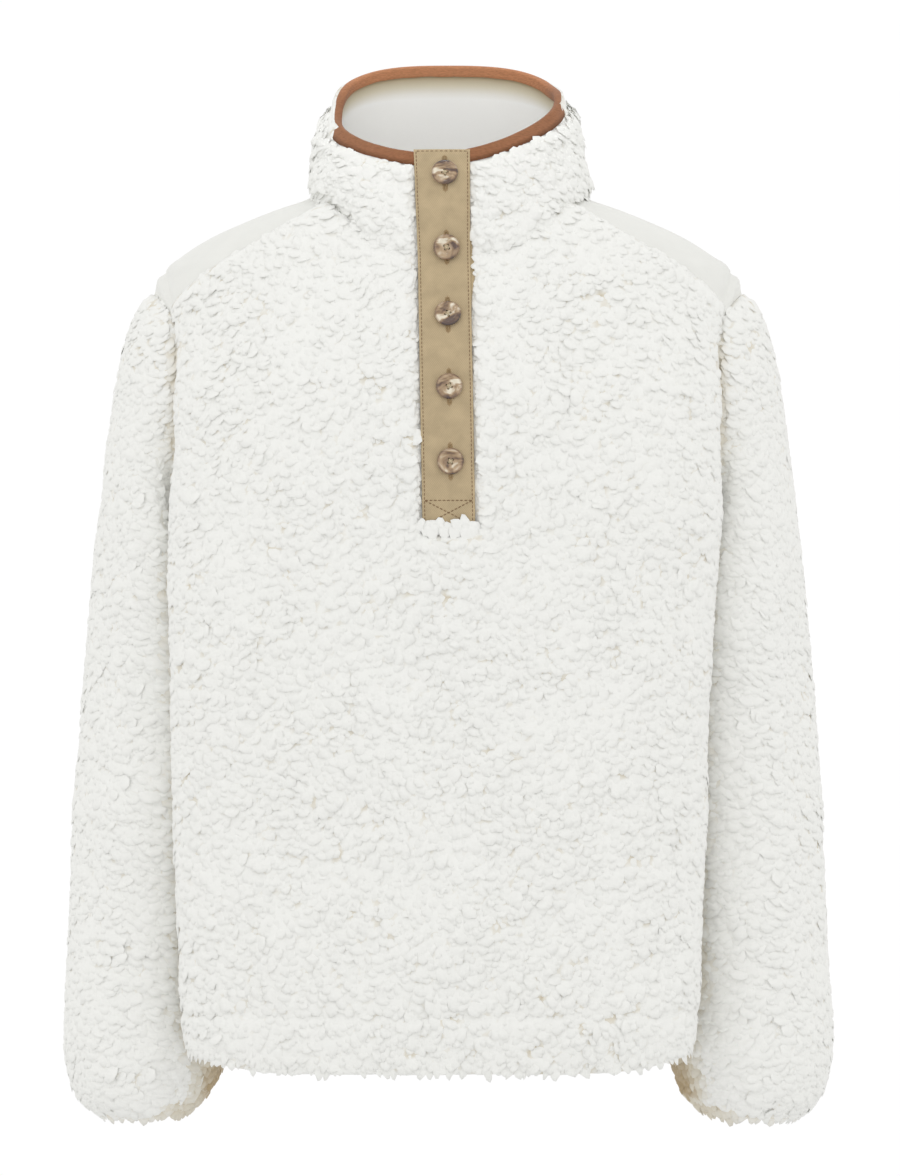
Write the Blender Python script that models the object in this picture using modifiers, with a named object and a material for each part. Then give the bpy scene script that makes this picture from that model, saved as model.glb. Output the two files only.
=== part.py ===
"""A sherpa fleece pullover, filled out as it is worn, with nobody in it.

Every cloth piece is a closed wall: its inner points lie on the knitted backing, and its outer points
stand off by the depth of the pile, or by the thickness of a plain woven cloth. All sizes are in
millimetres and turned into metres when a mesh is made. +Z is up, the front faces -Y, and the origin is
inside the neck, level with the tops of the shoulders. Left and right are the wearer's, so the left
sleeve is on +X.
"""

import math

import bmesh
import bpy
import numpy as np

MM = 0.001
LEFT, RIGHT = 1, -1

# Cloth thicknesses
PILE = 8.0
PILE_AT_SEAM = 3.0
PILE_UNDERARM = 1.1
PILE_AT_LEDGE = 2.2
WOVEN = 1.6
FACING = 1.2
BINDING = 1.0
SEAM_GAP = 0.34
LAYER_GAP = 0.3

# Hem and cuff
HEM_HEIGHT = -628.0
HEM_TURN = 30.0
HEM_FOLD = 4.0
CORNER_LIFT = 12.0
CORNER_ANGLE = 68.0
CORNER_SPREAD = 13.0

# Where an arm hangs beside the body, and how far front to back it presses the cloth in
ARM_Y = 8.0
ARM_REACH = 72.0

# Armhole, on the body's own surface
ARMHOLE_TOP = -51.0
UNDERARM = -238.0
ARMHOLE_SWING = 19.0
UNDERARM_POINT = 0.4
ARMHOLE_STEPS = 32

# Yoke: the plain woven piece over each shoulder
YOKE_PHI = 45.0
YOKE_NECK_ANGLE = {"front": 58.0, "back": 55.0}
YOKE_COLUMNS = 6
HEAD_PHI = 56.25
HEAD_WIDTH = 20.0
HEAD_TIP = 2.4

# Front opening and its placket
SLOT_HALF = 14.0
LEDGE = 7.0
PLACKET_WIDTH = 38.0
PLACKET_TOP, PLACKET_BOTTOM = 34.6, -240.0
PLACKET_DRIFT = (-4.3, 0.7)
UNDER_TOP, UNDER_BOTTOM = 19.5, -232.0
UNDER_PEEK = 1.6
UNDER_CLOTH = 1.2

# Collar
COLLAR_HALF_WIDTH = 81.0
COLLAR_HALF_DEPTH = 68.0
COLLAR_SQUARE = {"front": 1.7, "back": 2.8}
COLLAR_HEIGHT = 70.0
COLLAR_TILT = 37.5
COLLAR_ROLL = 7.5
COLLAR_LEVEL_BEHIND = 42.0
COLLAR_BELLY = 2.5
BINDING_OUTSIDE, BINDING_INSIDE = 10.5, 7.0

# Buttons
BUTTON_RADIUS = 9.5
BUTTON_SEAT = 7.6
BUTTON_HEIGHTS = (16.0, -38.0, -88.0, -140.0, -193.0)
BUTTON_HOLE_RADIUS = 0.9
BUTTON_HOLE_OFFSET = 1.9
BUTTON_STEPS = 20


def table(names, *rows):
    """A short table as one array for each named column."""
    return {name: np.array([row[i] for row in rows], float) for i, name in enumerate(names)}


BODY = table(
    ("height", "half_width", "front", "back", "square", "dent", "shift"),
    (-640, 186, 112, 108, 3.6, 0.30, -6),
    (-628, 193, 117, 112, 3.8, 0.31, -6),
    (-600, 200, 121, 116, 4.0, 0.33, -6),
    (-500, 204, 124, 118, 4.0, 0.355, -6),
    (-400, 207, 126, 121, 4.0, 0.37, -6),
    (-300, 209, 128, 124, 4.0, 0.37, -5),
    (-265, 210, 129, 125, 4.0, 0.34, -4),
    (-238, 210, 129, 126, 4.0, 0.29, -2),
    (-200, 209, 128, 126, 3.9, 0.20, -1),
    (-150, 208, 122, 124, 3.7, 0.10, 0),
    (-110, 207, 112, 120, 3.3, 0.04, 0),
    (-75, 207, 100, 113, 2.9, 0, 0),
    (-51, 205.5, 91, 105, 2.6, 0, 0),
    (-42, 197, 88, 101, 2.5, 0, 0),
    (-33, 185, 86, 97, 2.4, 0, 0),
    (-24, 169, 83, 92, 2.4, 0, 0),
    (-15.5, 150, 80, 86, 2.3, 0, 0),
    (-7, 129, 76, 80, 2.2, 0, 0),
    (5, 97, 70, 72, 2.1, 0, 0),
    (20, 84, 60, 64, 2.1, 0, 0),
)

# The neck seam's height, by the angle round the neck from the front
NECKLINE = table(
    ("angle", "height"),
    (0, -42),
    (14, -41.5),
    (28, -37),
    (37, -28),
    (45, -15.5),
    (58, -4),
    (90, 5),
    (125, 11),
    (180, 14),
)

# Each sleeve ring runs between a point on the outer arm line and one on the inner. It stays clear of the
# body's side, and its points are turned towards the outer line, which is the longer way down from the armhole.
SLEEVE = table(
    ("outer_x", "outer_z", "inner_x", "inner_z", "half_depth", "centre_y", "clear", "twist", "lean"),
    (227, -86, 162, -258, 68, 7, 17, 19, 0.62),
    (239, -122, 158, -280, 69, 9, 24, 30, 0.66),
    (247, -170, 158, -312, 70, 10, 27, 34, 0.72),
    (252, -230, 159, -350, 70, 11, 27, 33, 0.8),
    (257, -295, 160, -390, 69, 12, 26, 31, 0.88),
    (263, -365, 160, -438, 67, 12, 26, 27, 0.95),
    (269, -440, 162, -490, 65, 12, 26, 25, 1),
    (272, -510, 166, -540, 63, 11, 26, 22, 1),
    (275, -575, 170, -590, 61, 10, 26, 20, 1),
    (276, -625, 172, -628, 59, 9, 26, 18, 1),
    (269, -655, 180, -650, 53, 8, 26, 16, 1),
    (254, -668, 192, -664, 43, 8, 26, 16, 1),
)

# Soft vertical folds down each sleeve: where round the arm, how deep, and over which rows
SLEEVE_FOLDS = table(
    ("phi", "depth", "width", "first_row", "last_row"),
    (42, 4.5, 15, 2.5, 9.5),
    (-50, 4.0, 16, 3.0, 9.0),
    (-110, 3.0, 18, 4.0, 10.0),
)


def smooth_value(places, values, at):
    """A cubic through a column of values that never overshoots them."""
    at = np.asarray(at, float)
    step = np.diff(places)
    slope = np.diff(values) / step
    before, after = slope[:-1], slope[1:]
    same_way = before * after > 0
    total = np.where(same_way, before + after, 1.0)
    middle = np.where(same_way, 2 * before * after / total, 0.0)
    tangent = np.concatenate([slope[:1], middle, slope[-1:]])
    i = np.clip(np.searchsorted(places, at) - 1, 0, len(step) - 1)
    t = (at - places[i]) / step[i]
    rise = t * t * (3 - 2 * t)
    return (
        values[i] * (1 - rise)
        + values[i + 1] * rise
        + step[i] * t * (1 - t) * (tangent[i] * (1 - t) - tangent[i + 1] * t)
    )


def unit(vectors):
    return vectors / np.linalg.norm(vectors, axis=-1, keepdims=True)


def ease(share):
    share = np.clip(share, 0, 1)
    return share * share * (3 - 2 * share)


def normals(surface, u, v, step_u, step_v):
    """The direction across a surface that is given as a function of two numbers."""
    along_u = surface(u + step_u, v) - surface(u - step_u, v)
    along_v = surface(u, v + step_v) - surface(u, v - step_v)
    return unit(np.cross(along_u, along_v))


# The body's surface


def ring_radius(angle, half_width, depth, square):
    across = np.abs(np.sin(angle)) / half_width
    along = np.abs(np.cos(angle)) / depth
    return (across**square + along**square) ** (-1 / square)


def body_point(angle, height):
    """A point of the backing. The angle is in degrees round from the front towards the wearer's left."""
    angle, height = np.broadcast_arrays(np.radians(angle), np.asarray(height, float))
    ring = {name: smooth_value(BODY["height"], BODY[name], height) for name in BODY}
    depth = np.where(np.cos(angle) > 0, ring["front"], ring["back"])
    radius = ring_radius(angle, ring["half_width"], depth, ring["square"])
    y = -radius * np.cos(angle)
    pressed = ring["dent"] * np.exp(-((np.abs(y - ARM_Y) / ARM_REACH) ** 3))
    x = ring["shift"] + radius * np.sin(angle) * (1 - pressed)
    return np.stack([x, y, height], -1)


def body_normal(angle, height):
    return normals(body_point, np.asarray(angle, float), np.asarray(height, float), 0.2, 0.2)


def side_reach(side, y, height):
    """How far out the body's side reaches at this depth and height."""
    ring = {name: smooth_value(BODY["height"], BODY[name], height) for name in BODY}
    depth = np.where(y < 0, ring["front"], ring["back"])
    share = np.clip(1 - (np.abs(y) / depth) ** ring["square"], 0, 1)
    pressed = ring["dent"] * np.exp(-((np.abs(y - ARM_Y) / ARM_REACH) ** 3))
    return side * ring["shift"] + ring["half_width"] * share ** (1 / ring["square"]) * (1 - pressed)


def front_angle(x, height):
    """The angle of the point of the front that has this x."""
    ring = {name: smooth_value(BODY["height"], BODY[name], height) for name in BODY}
    across = x - ring["shift"]
    share = 1 - (np.abs(across) / ring["half_width"]) ** ring["square"]
    return np.degrees(np.arctan2(across, ring["front"] * share ** (1 / ring["square"])))


def placket_centre(height):
    top, bottom = PLACKET_DRIFT
    share = np.clip((PLACKET_TOP - height) / (PLACKET_TOP - PLACKET_BOTTOM), 0, 1)
    return top + (bottom - top) * share


def neck_height(angle):
    around = np.abs((np.asarray(angle, float) + 180) % 360 - 180)
    return smooth_value(NECKLINE["angle"], NECKLINE["height"], around)


def facing_angle(face, across):
    """Front and back panels both run from -90 to 90 degrees across."""
    return across if face == "front" else 180 - across


def armhole_place(side, phi):
    """Where on the body the armhole passes: phi is 0 at the shoulder, 90 in front and 180 underarm."""
    turn = np.radians(phi)
    middle, half = (ARMHOLE_TOP + UNDERARM) / 2, (ARMHOLE_TOP - UNDERARM) / 2
    around = np.abs((np.asarray(phi, float) + 180) % 360 - 180)
    pointed = (1 - UNDERARM_POINT) * np.cos(turn) - UNDERARM_POINT * (around - 90) / 90
    return side * (90 - ARMHOLE_SWING * np.sin(turn)), middle + half * np.where(around > 90, pointed, np.cos(turn))


def yoke_seam(face, side, share):
    """The seam between a yoke and a panel, from the armhole to the neck."""
    phi = YOKE_PHI if face == "front" else -YOKE_PHI
    _, start_height = armhole_place(side, phi)
    start_across = side * (90 - ARMHOLE_SWING * math.sin(math.radians(YOKE_PHI)))
    end_across = side * YOKE_NECK_ANGLE[face]
    end_height = neck_height(facing_angle(face, end_across))
    across = start_across + (end_across - start_across) * share
    return across, start_height + (end_height - start_height) * share


# The sleeve's surface


def sleeve_rings(side, phi):
    """The armhole and then each ring of the table, at the angles phi round the arm."""
    rings = [body_point(*armhole_place(side, phi))]
    for row in range(len(SLEEVE["outer_x"])):
        ring = {name: SLEEVE[name][row] for name in SLEEVE}
        degrees = phi - ring["twist"] * np.sin(np.radians(phi))
        turn = np.radians(degrees)
        share = (1 + np.cos(turn)) / 2
        fold = np.zeros_like(turn)
        for k in range(len(SLEEVE_FOLDS["phi"])):
            off = (degrees - SLEEVE_FOLDS["phi"][k] + 180) % 360 - 180
            first, last = SLEEVE_FOLDS["first_row"][k], SLEEVE_FOLDS["last_row"][k]
            along = np.sin(math.pi * np.clip((row + 1 - first) / (last - first), 0, 1))
            fold = fold + SLEEVE_FOLDS["depth"][k] * along * np.exp(-((off / SLEEVE_FOLDS["width"][k]) ** 2))
        shrink = 1 - fold / ring["half_depth"]
        middle_x = (ring["outer_x"] + ring["inner_x"]) / 2
        middle_z = (ring["outer_z"] + ring["inner_z"]) / 2
        x = ring["inner_x"] + (ring["outer_x"] - ring["inner_x"]) * share ** ring["lean"]
        z = ring["inner_z"] + (ring["outer_z"] - ring["inner_z"]) * share
        x = middle_x + (x - middle_x) * shrink
        z = middle_z + (z - middle_z) * shrink
        y = ring["centre_y"] - ring["half_depth"] * np.sin(turn) * shrink
        around = np.abs((degrees + 180) % 360 - 180)
        least = side_reach(side, y, z) + ring["clear"] * ease((around - 45) / 65) - 60 * (1 - ease(around / 60))
        x = (x + least + np.sqrt((x - least) ** 2 + 36)) / 2
        rings.append(np.stack([side * x, y, z], -1))
    return np.stack(rings)


def sleeve_point(side, row, phi):
    """A smooth surface through the rings. Row 0 is the armhole, and whole numbers are the rings."""
    row, phi = np.broadcast_arrays(np.asarray(row, float), np.asarray(phi, float))
    rings = sleeve_rings(side, phi)
    last = len(rings) - 1
    i = np.clip(np.floor(row).astype(int), 0, last - 1)
    t = (row - i)[..., None]

    def ring(k):
        return np.take_along_axis(rings, np.clip(k, 0, last)[None, ..., None], 0)[0]

    here, there = ring(i), ring(i + 1)
    leave = np.where((i > 0)[..., None], (there - ring(i - 1)) / 2, there - here)
    arrive = np.where((i < last - 1)[..., None], (ring(i + 2) - here) / 2, there - here)
    rise = t * t * (3 - 2 * t)
    return here * (1 - rise) + there * rise + t * (1 - t) * (leave * (1 - t) - arrive * t)


def sleeve_normal(side, row, phi):
    def surface(u, v):
        return sleeve_point(side, u, v)

    return -side * normals(surface, np.maximum(row, 0.02), phi, 0.02, 0.5)


def sleeve_row_at(side, phi, distance):
    """The row that lies this far down the sleeve from the armhole."""
    rows = np.linspace(0, 2, 41)
    line = sleeve_point(side, rows, np.full_like(rows, phi))
    run = np.concatenate([[0], np.cumsum(np.linalg.norm(np.diff(line, axis=0), axis=1))])
    return float(np.interp(distance, run, rows))


def head_width(phi):
    """How far the plain woven sleeve head reaches down from the armhole."""
    arch = HEAD_WIDTH * np.cos(math.pi / 2 * np.clip(np.abs(phi) / HEAD_PHI, 0, 1))
    return np.maximum(arch, HEAD_TIP)


# The collar's surface


def collar_top(angle):
    turn = np.radians(angle)
    square = np.where(np.cos(turn) > 0, COLLAR_SQUARE["front"], COLLAR_SQUARE["back"])
    radius = ring_radius(turn, COLLAR_HALF_WIDTH, COLLAR_HALF_DEPTH, square)
    x, y = radius * np.sin(turn), -radius * np.cos(turn)
    lean = COLLAR_TILT * y / COLLAR_HALF_DEPTH
    roll = COLLAR_ROLL * x / COLLAR_HALF_WIDTH * (1 - ease(y / COLLAR_LEVEL_BEHIND))
    return np.stack([x, y, COLLAR_HEIGHT + lean + roll], -1)


def slot_angles(side, off):
    """The neck seam's and the collar edge's angles at this distance from the placket's centre."""
    base = neck_height(0)
    bottom = front_angle(placket_centre(base) + side * off, base)
    x = placket_centre(PLACKET_TOP) + side * off
    return bottom, math.degrees(math.atan2(x, COLLAR_HALF_DEPTH))


def collar_point(angle, share):
    """The collar's backing, from the neck seam at share 0 to the bound edge at share 1."""
    angle, share = np.broadcast_arrays(np.asarray(angle, float), np.asarray(share, float))
    around = (angle + 180) % 360 - 180
    top_angle = around.copy()
    limit = YOKE_NECK_ANGLE["front"]
    for side in (LEFT, RIGHT):
        slot, ledge = slot_angles(side, SLOT_HALF), slot_angles(side, SLOT_HALF + LEDGE)
        bottom = [side * slot[0], side * ledge[0], limit]
        top = [side * slot[1], side * ledge[1], limit]
        ahead = (side * around > 0) & (side * around < limit)
        top_angle = np.where(ahead, side * np.interp(side * around, bottom, top), top_angle)
    base = body_point(around, neck_height(around))
    top = collar_top(top_angle)
    outward = unit(top * [1, 1, 0])
    along = share[..., None]
    return base * (1 - along) + top * along + outward * COLLAR_BELLY * np.sin(math.pi * along)


def collar_normal(angle, share):
    return normals(collar_point, np.asarray(angle, float), np.clip(share, 0.01, 0.99), 0.2, 0.01)


# Seams: their samples, and the direction in which both walls meet there


def armhole_direction(side, phi):
    body = body_normal(*armhole_place(side, phi))
    return unit(body + sleeve_normal(side, np.zeros_like(phi), phi))


def neck_direction(angle):
    return unit(body_normal(angle, neck_height(angle)) + collar_normal(angle, np.zeros_like(angle)))


def pile_depth(points, seams):
    """The pile is pressed flat at a seam and rises to its full depth beside it."""
    depth = np.full(points.shape[:-1], PILE)
    for line, ledge, ramp, least in seams:
        ramp = np.broadcast_to(ramp, len(line))
        least = np.broadcast_to(least, len(line))
        for place, reach, low in zip(line, ramp, least):
            away = np.linalg.norm(points - place, axis=-1)
            depth = np.minimum(depth, low + (PILE - low) * ease((away - ledge) / reach))
    return depth


def armhole_seam(side):
    phi = np.arange(0, 360, 360 / ARMHOLE_STEPS)
    tight = np.maximum(0, -np.cos(np.radians(phi)))
    least = PILE_AT_SEAM + (PILE_UNDERARM - PILE_AT_SEAM) * ease(2.2 * tight)
    return body_point(*armhole_place(side, phi)), 0.0, 14 + 56 * tight, least


class Panel:
    """A grid of points on the backing, each with the way out of the cloth and the wall's depth there."""

    def __init__(self, points, out, depth):
        self.points = points.copy()
        self.out = out.copy()
        self.depth = np.broadcast_to(depth, points.shape[:-1]).copy()
        self.shift = np.zeros_like(points)

    def sew(self, rows, columns, step, out=None):
        """Draws an edge back by half the seam's gap, square to the direction that both walls share."""
        rows, columns = np.broadcast_arrays(rows, columns)
        line = self.points[rows, columns]
        if out is not None:
            self.out[rows, columns] = out
        tangent = unit(np.gradient(line, axis=0))
        back = unit(np.cross(tangent, self.out[rows, columns]))
        inside = self.points[rows + step[0], columns + step[1]] - line
        back *= np.sign(np.sum(back * inside, axis=-1))[:, None]
        self.shift[rows, columns] += back * SEAM_GAP / 2

    def layer(self, low, high):
        base = self.points + self.shift
        return base + self.out * np.expand_dims(low, -1), base + self.out * np.expand_dims(high, -1)


def coons(bottom, top, left, right):
    """Fills in a grid between four edges. Left and right run up, bottom and top run across."""
    u = np.linspace(0, 1, len(bottom))[None, :, None]
    v = np.linspace(0, 1, len(left))[:, None, None]
    ruled = bottom[None] * (1 - v) + top[None] * v + left[:, None] * (1 - u) + right[:, None] * u
    corners = bottom[0] * (1 - u) * (1 - v) + bottom[-1] * u * (1 - v) + top[0] * (1 - u) * v + top[-1] * u * v
    return ruled - corners


def pairs(first, second):
    return np.stack(np.broadcast_arrays(np.asarray(first, float), np.asarray(second, float)), -1)


# Making meshes


def cloth_wall(name, inner, outer, material, keep=None, wrap=False):
    """One closed wall between an inner and an outer grid. Keep leaves some squares of the grid open."""
    rows, columns = inner.shape[:2]
    across = columns if wrap else columns - 1
    if keep is None:
        keep = np.ones((rows - 1, across), bool)
    mesh = bmesh.new()
    index = {}

    def corner(layer, r, c):
        key = (layer, r, c % columns)
        if key not in index:
            grid = (inner, outer)[layer]
            index[key] = mesh.verts.new(grid[r, c % columns] * MM)
        return index[key]

    edges = {}
    for r, c in zip(*np.nonzero(keep)):
        ring = [(r, c), (r, c + 1), (r + 1, c + 1), (r + 1, c)]
        mesh.faces.new([corner(1, *p) for p in ring])
        mesh.faces.new([corner(0, *p) for p in reversed(ring)])
        for a, b in zip(ring, ring[1:] + ring[:1]):
            a, b = (a[0], a[1] % columns), (b[0], b[1] % columns)
            if edges.pop((b, a), None) is None:
                edges[(a, b)] = True
    for a, b in edges:
        mesh.faces.new([corner(1, *b), corner(1, *a), corner(0, *a), corner(0, *b)])
    bmesh.ops.recalc_face_normals(mesh, faces=mesh.faces)
    bmesh.ops.triangulate(mesh, faces=mesh.faces, quad_method="SHORT_EDGE")
    return finish_mesh(name, mesh, material)


def finish_mesh(name, mesh, material):
    data = bpy.data.meshes.new(name)
    mesh.to_mesh(data)
    mesh.free()
    data.materials.append(material)
    data.shade_smooth()
    data.set_sharp_from_angle(angle=math.radians(50))
    obj = bpy.data.objects.new(name, data)
    PULLOVER.objects.link(obj)
    return obj


def material(name, colour, roughness):
    made = bpy.data.materials.new(name)
    made.use_nodes = True
    shader = made.node_tree.nodes["Principled BSDF"]
    shader.inputs["Base Color"].default_value = (*colour, 1)
    shader.inputs["Roughness"].default_value = roughness
    return made


# The body panels

LOWER_HEIGHTS = np.array([-628.0, -617, -598, -592, -530, -465, -400, -345, -300, -265, UNDERARM])
SIDE_ROWS = len(LOWER_HEIGHTS) - 1
UPPER_ROWS = int(ARMHOLE_STEPS * (180 - YOKE_PHI) / 360)
NECK_COLUMNS = 6


def even_angles(height, start, end, count):
    """Angles round a ring that are the same distance apart along it."""
    angles = np.linspace(start, end, 400)
    line = body_point(angles, height)
    run = np.concatenate([[0], np.cumsum(np.linalg.norm(np.diff(line, axis=0), axis=1))])
    return np.interp(np.linspace(0, run[-1], count), run, angles)


def armhole_edge(face, side):
    """The armhole from underarm to yoke, as the angle across the panel and the height."""
    phi = np.linspace(180, YOKE_PHI, UPPER_ROWS + 1) * (1 if face == "front" else -1)
    angle, height = armhole_place(side, phi)
    across = side * (90 - np.abs(90 - np.abs(angle)))
    return phi, pairs(across, height)


def hem_lift(across):
    """The hem curls up a little at its corners."""
    return CORNER_LIFT * np.exp(-(((np.abs(across) - CORNER_ANGLE) / CORNER_SPREAD) ** 2))


def lower_places(across):
    """The grid from the hem to the underarm."""
    places = []
    for height in LOWER_HEIGHTS:
        near_hem = 1 - ease((height - HEM_HEIGHT) / 70)
        places.append(pairs(across, height + hem_lift(across) * near_hem))
    return np.array(places)


def front_half(side):
    """One half of the front from the side seam to the edge of the opening, which is its last column."""
    columns = YOKE_COLUMNS + NECK_COLUMNS
    ledge_off = SLOT_HALF + LEDGE
    centre = placket_centre(UNDERARM)
    ledge_across = front_angle(centre + side * ledge_off, UNDERARM)
    slot_across = front_angle(centre + side * SLOT_HALF, UNDERARM)
    across = even_angles(-300, side * 90, ledge_across, columns + 1)
    low = lower_places(np.append(across, slot_across))
    neck_ledge, _ = slot_angles(side, ledge_off)
    neck_slot, _ = slot_angles(side, SLOT_HALF)
    seam = pairs(*yoke_seam("front", side, np.linspace(0, 1, YOKE_COLUMNS + 1)))
    neck = np.linspace(side * YOKE_NECK_ANGLE["front"], neck_ledge, NECK_COLUMNS + 1)
    top = np.concatenate([seam, pairs(neck, neck_height(neck))[1:]])
    rise = np.linspace(0, 1, UPPER_ROWS + 1)
    heights = UNDERARM + (neck_height(neck_ledge) - UNDERARM) * rise
    ledge = pairs(front_angle(placket_centre(heights) + side * ledge_off, heights), heights)
    ledge[-1, 0] = neck_ledge
    heights = UNDERARM + (neck_height(neck_slot) - UNDERARM) * rise
    slot = pairs(front_angle(placket_centre(heights) + side * SLOT_HALF, heights), heights)
    slot[-1, 0] = neck_slot
    _, armhole = armhole_edge("front", side)
    high = coons(pairs(across, UNDERARM), top, armhole, ledge)
    high = np.concatenate([high, slot[:, None]], axis=1)
    return np.concatenate([low, high[1:]])


def hem_depths(panel_places):
    """How far the turned hem thickens the wall inwards at each row."""
    heights = LOWER_HEIGHTS - HEM_HEIGHT
    inwards = np.where(heights <= HEM_TURN, HEM_FOLD, 0.0)
    low = np.zeros(panel_places.shape[:2])
    low[: len(heights)] = -inwards[:, None]
    return low


def sew_sides(panel, face, side, column, step):
    rows = np.arange(SIDE_ROWS + 1)
    panel.sew(rows, column, step)
    phi, _ = armhole_edge(face, side)
    rows = np.arange(SIDE_ROWS, SIDE_ROWS + UPPER_ROWS + 1)
    panel.sew(rows, column, step, armhole_direction(side, phi))


def panel_seams(face):
    """Every seam that presses a panel's pile down."""
    seams = [armhole_seam(side) for side in (LEFT, RIGHT)]
    share = np.linspace(0, 1, YOKE_COLUMNS + 1)
    for side in (LEFT, RIGHT):
        across, height = yoke_seam(face, side, share)
        seams.append((body_point(facing_angle(face, across), height), 0.0, 14, PILE_AT_SEAM))
    limit = YOKE_NECK_ANGLE[face]
    neck = facing_angle(face, np.linspace(-limit, limit, 2 * NECK_COLUMNS + 1))
    seams.append((body_point(neck, neck_height(neck)), 0.0, 14, PILE_AT_SEAM))
    return seams


def build_front(fleece):
    right, left = front_half(RIGHT), front_half(LEFT)
    middle = (right[:, -1:] + left[:, -1:]) / 2
    places = np.concatenate([right, middle, left[:, ::-1]], axis=1)
    angle, height = places[..., 0], places[..., 1]
    points = body_point(angle, height)
    seams = panel_seams("front")
    slot_rows = np.arange(SIDE_ROWS, SIDE_ROWS + UPPER_ROWS + 1)
    for column in (right.shape[1] - 1, right.shape[1] + 1):
        seams.append((points[slot_rows, column], LEDGE + 0.6, 9, PILE_AT_LEDGE))
    seams.append((points[SIDE_ROWS, right.shape[1] - 1 : right.shape[1] + 2], LEDGE, 12, PILE_AT_LEDGE))
    panel = Panel(points, body_normal(angle, height), pile_depth(points, seams))
    sew_sides(panel, "front", RIGHT, 0, (0, 1))
    sew_sides(panel, "front", LEFT, places.shape[1] - 1, (0, -1))
    top = len(places) - 1
    last = places.shape[1] - 1
    half = right.shape[1] - 1
    yoke = np.arange(YOKE_COLUMNS + 1)
    neck = np.arange(YOKE_COLUMNS, half + 1)
    for columns in (yoke, last - yoke):
        panel.sew(top, columns, (-1, 0))
    for columns in (neck, last - neck):
        panel.sew(top, columns, (-1, 0), neck_direction(angle[top, columns]))
    keep = np.ones((len(places) - 1, last), bool)
    keep[SIDE_ROWS:, half : half + 2] = False
    inner, outer = panel.layer(hem_depths(places), panel.depth)
    return cloth_wall("front_body", inner, outer, fleece, keep)


def build_back(fleece):
    columns = 2 * (YOKE_COLUMNS + NECK_COLUMNS)
    across = even_angles(-300, 270, 90, columns + 1)
    across = 180 - across
    low = lower_places(across)
    limit = YOKE_NECK_ANGLE["back"]
    neck = np.linspace(-limit, limit, 2 * NECK_COLUMNS + 1)
    share = np.linspace(0, 1, YOKE_COLUMNS + 1)
    seam_right = pairs(*yoke_seam("back", RIGHT, share))
    seam_left = pairs(*yoke_seam("back", LEFT, share))
    neck_line = pairs(neck, neck_height(180 - neck))
    top = np.concatenate([seam_right, neck_line[1:-1], seam_left[::-1]])
    _, edge_right = armhole_edge("back", RIGHT)
    _, edge_left = armhole_edge("back", LEFT)
    high = coons(pairs(across, UNDERARM), top, edge_right, edge_left)
    places = np.concatenate([low, high[1:]])
    angle, height = 180 - places[..., 0], places[..., 1]
    points = body_point(angle, height)
    panel = Panel(points, body_normal(angle, height), pile_depth(points, panel_seams("back")))
    sew_sides(panel, "back", RIGHT, 0, (0, 1))
    sew_sides(panel, "back", LEFT, columns, (0, -1))
    row = len(places) - 1
    yoke = np.arange(YOKE_COLUMNS + 1)
    for chosen in (yoke, columns - yoke):
        panel.sew(row, chosen, (-1, 0))
    chosen = np.arange(YOKE_COLUMNS, columns - YOKE_COLUMNS + 1)
    panel.sew(row, chosen, (-1, 0), neck_direction(angle[row, chosen]))
    inner, outer = panel.layer(hem_depths(places), panel.depth)
    return cloth_wall("back_body", inner, outer, fleece)


def build_yoke(side, woven):
    """The woven shoulder piece, between the armhole, the neck and the two panels."""
    name = "yoke_left" if side == LEFT else "yoke_right"
    count = int(ARMHOLE_STEPS * 2 * YOKE_PHI / 360) + 1
    phi = np.linspace(YOKE_PHI, -YOKE_PHI, count)
    armhole = pairs(*armhole_place(side, phi))
    share = np.linspace(0, 1, YOKE_COLUMNS + 1)
    front = pairs(*yoke_seam("front", side, share))
    back = pairs(*yoke_seam("back", side, share))
    back[:, 0] = side * 180 - back[:, 0]
    neck = np.linspace(front[-1, 0], back[-1, 0], count)
    places = coons(armhole, pairs(neck, neck_height(neck)), front, back)
    angle, height = places[..., 0], places[..., 1]
    panel = Panel(body_point(angle, height), body_normal(angle, height), WOVEN)
    rows, columns = np.arange(len(share)), np.arange(count)
    panel.sew(0, columns, (1, 0), armhole_direction(side, phi))
    panel.sew(len(share) - 1, columns, (-1, 0), neck_direction(neck))
    panel.sew(rows, 0, (0, 1))
    panel.sew(rows, count - 1, (0, -1))
    inner, outer = panel.layer(0.0, panel.depth)
    return cloth_wall(name, inner, outer, woven)


# The sleeves


def sleeve_seams(side):
    phi = np.arange(-HEAD_PHI, HEAD_PHI + 1, 360 / ARMHOLE_STEPS)
    rows = np.array([sleeve_row_at(side, p, head_width(p)) for p in phi])
    return [armhole_seam(side), (sleeve_point(side, rows, phi), 0.0, 14, PILE_AT_SEAM)]


def head_edge_direction(side, row, phi):
    """Both walls' direction where the sleeve meets its woven head. At the tips it is the armhole's."""
    wide = ease((head_width(phi) - 3) / 9)[..., None]
    return unit(armhole_direction(side, phi) * (1 - wide) + sleeve_normal(side, row, phi) * wide)


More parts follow.
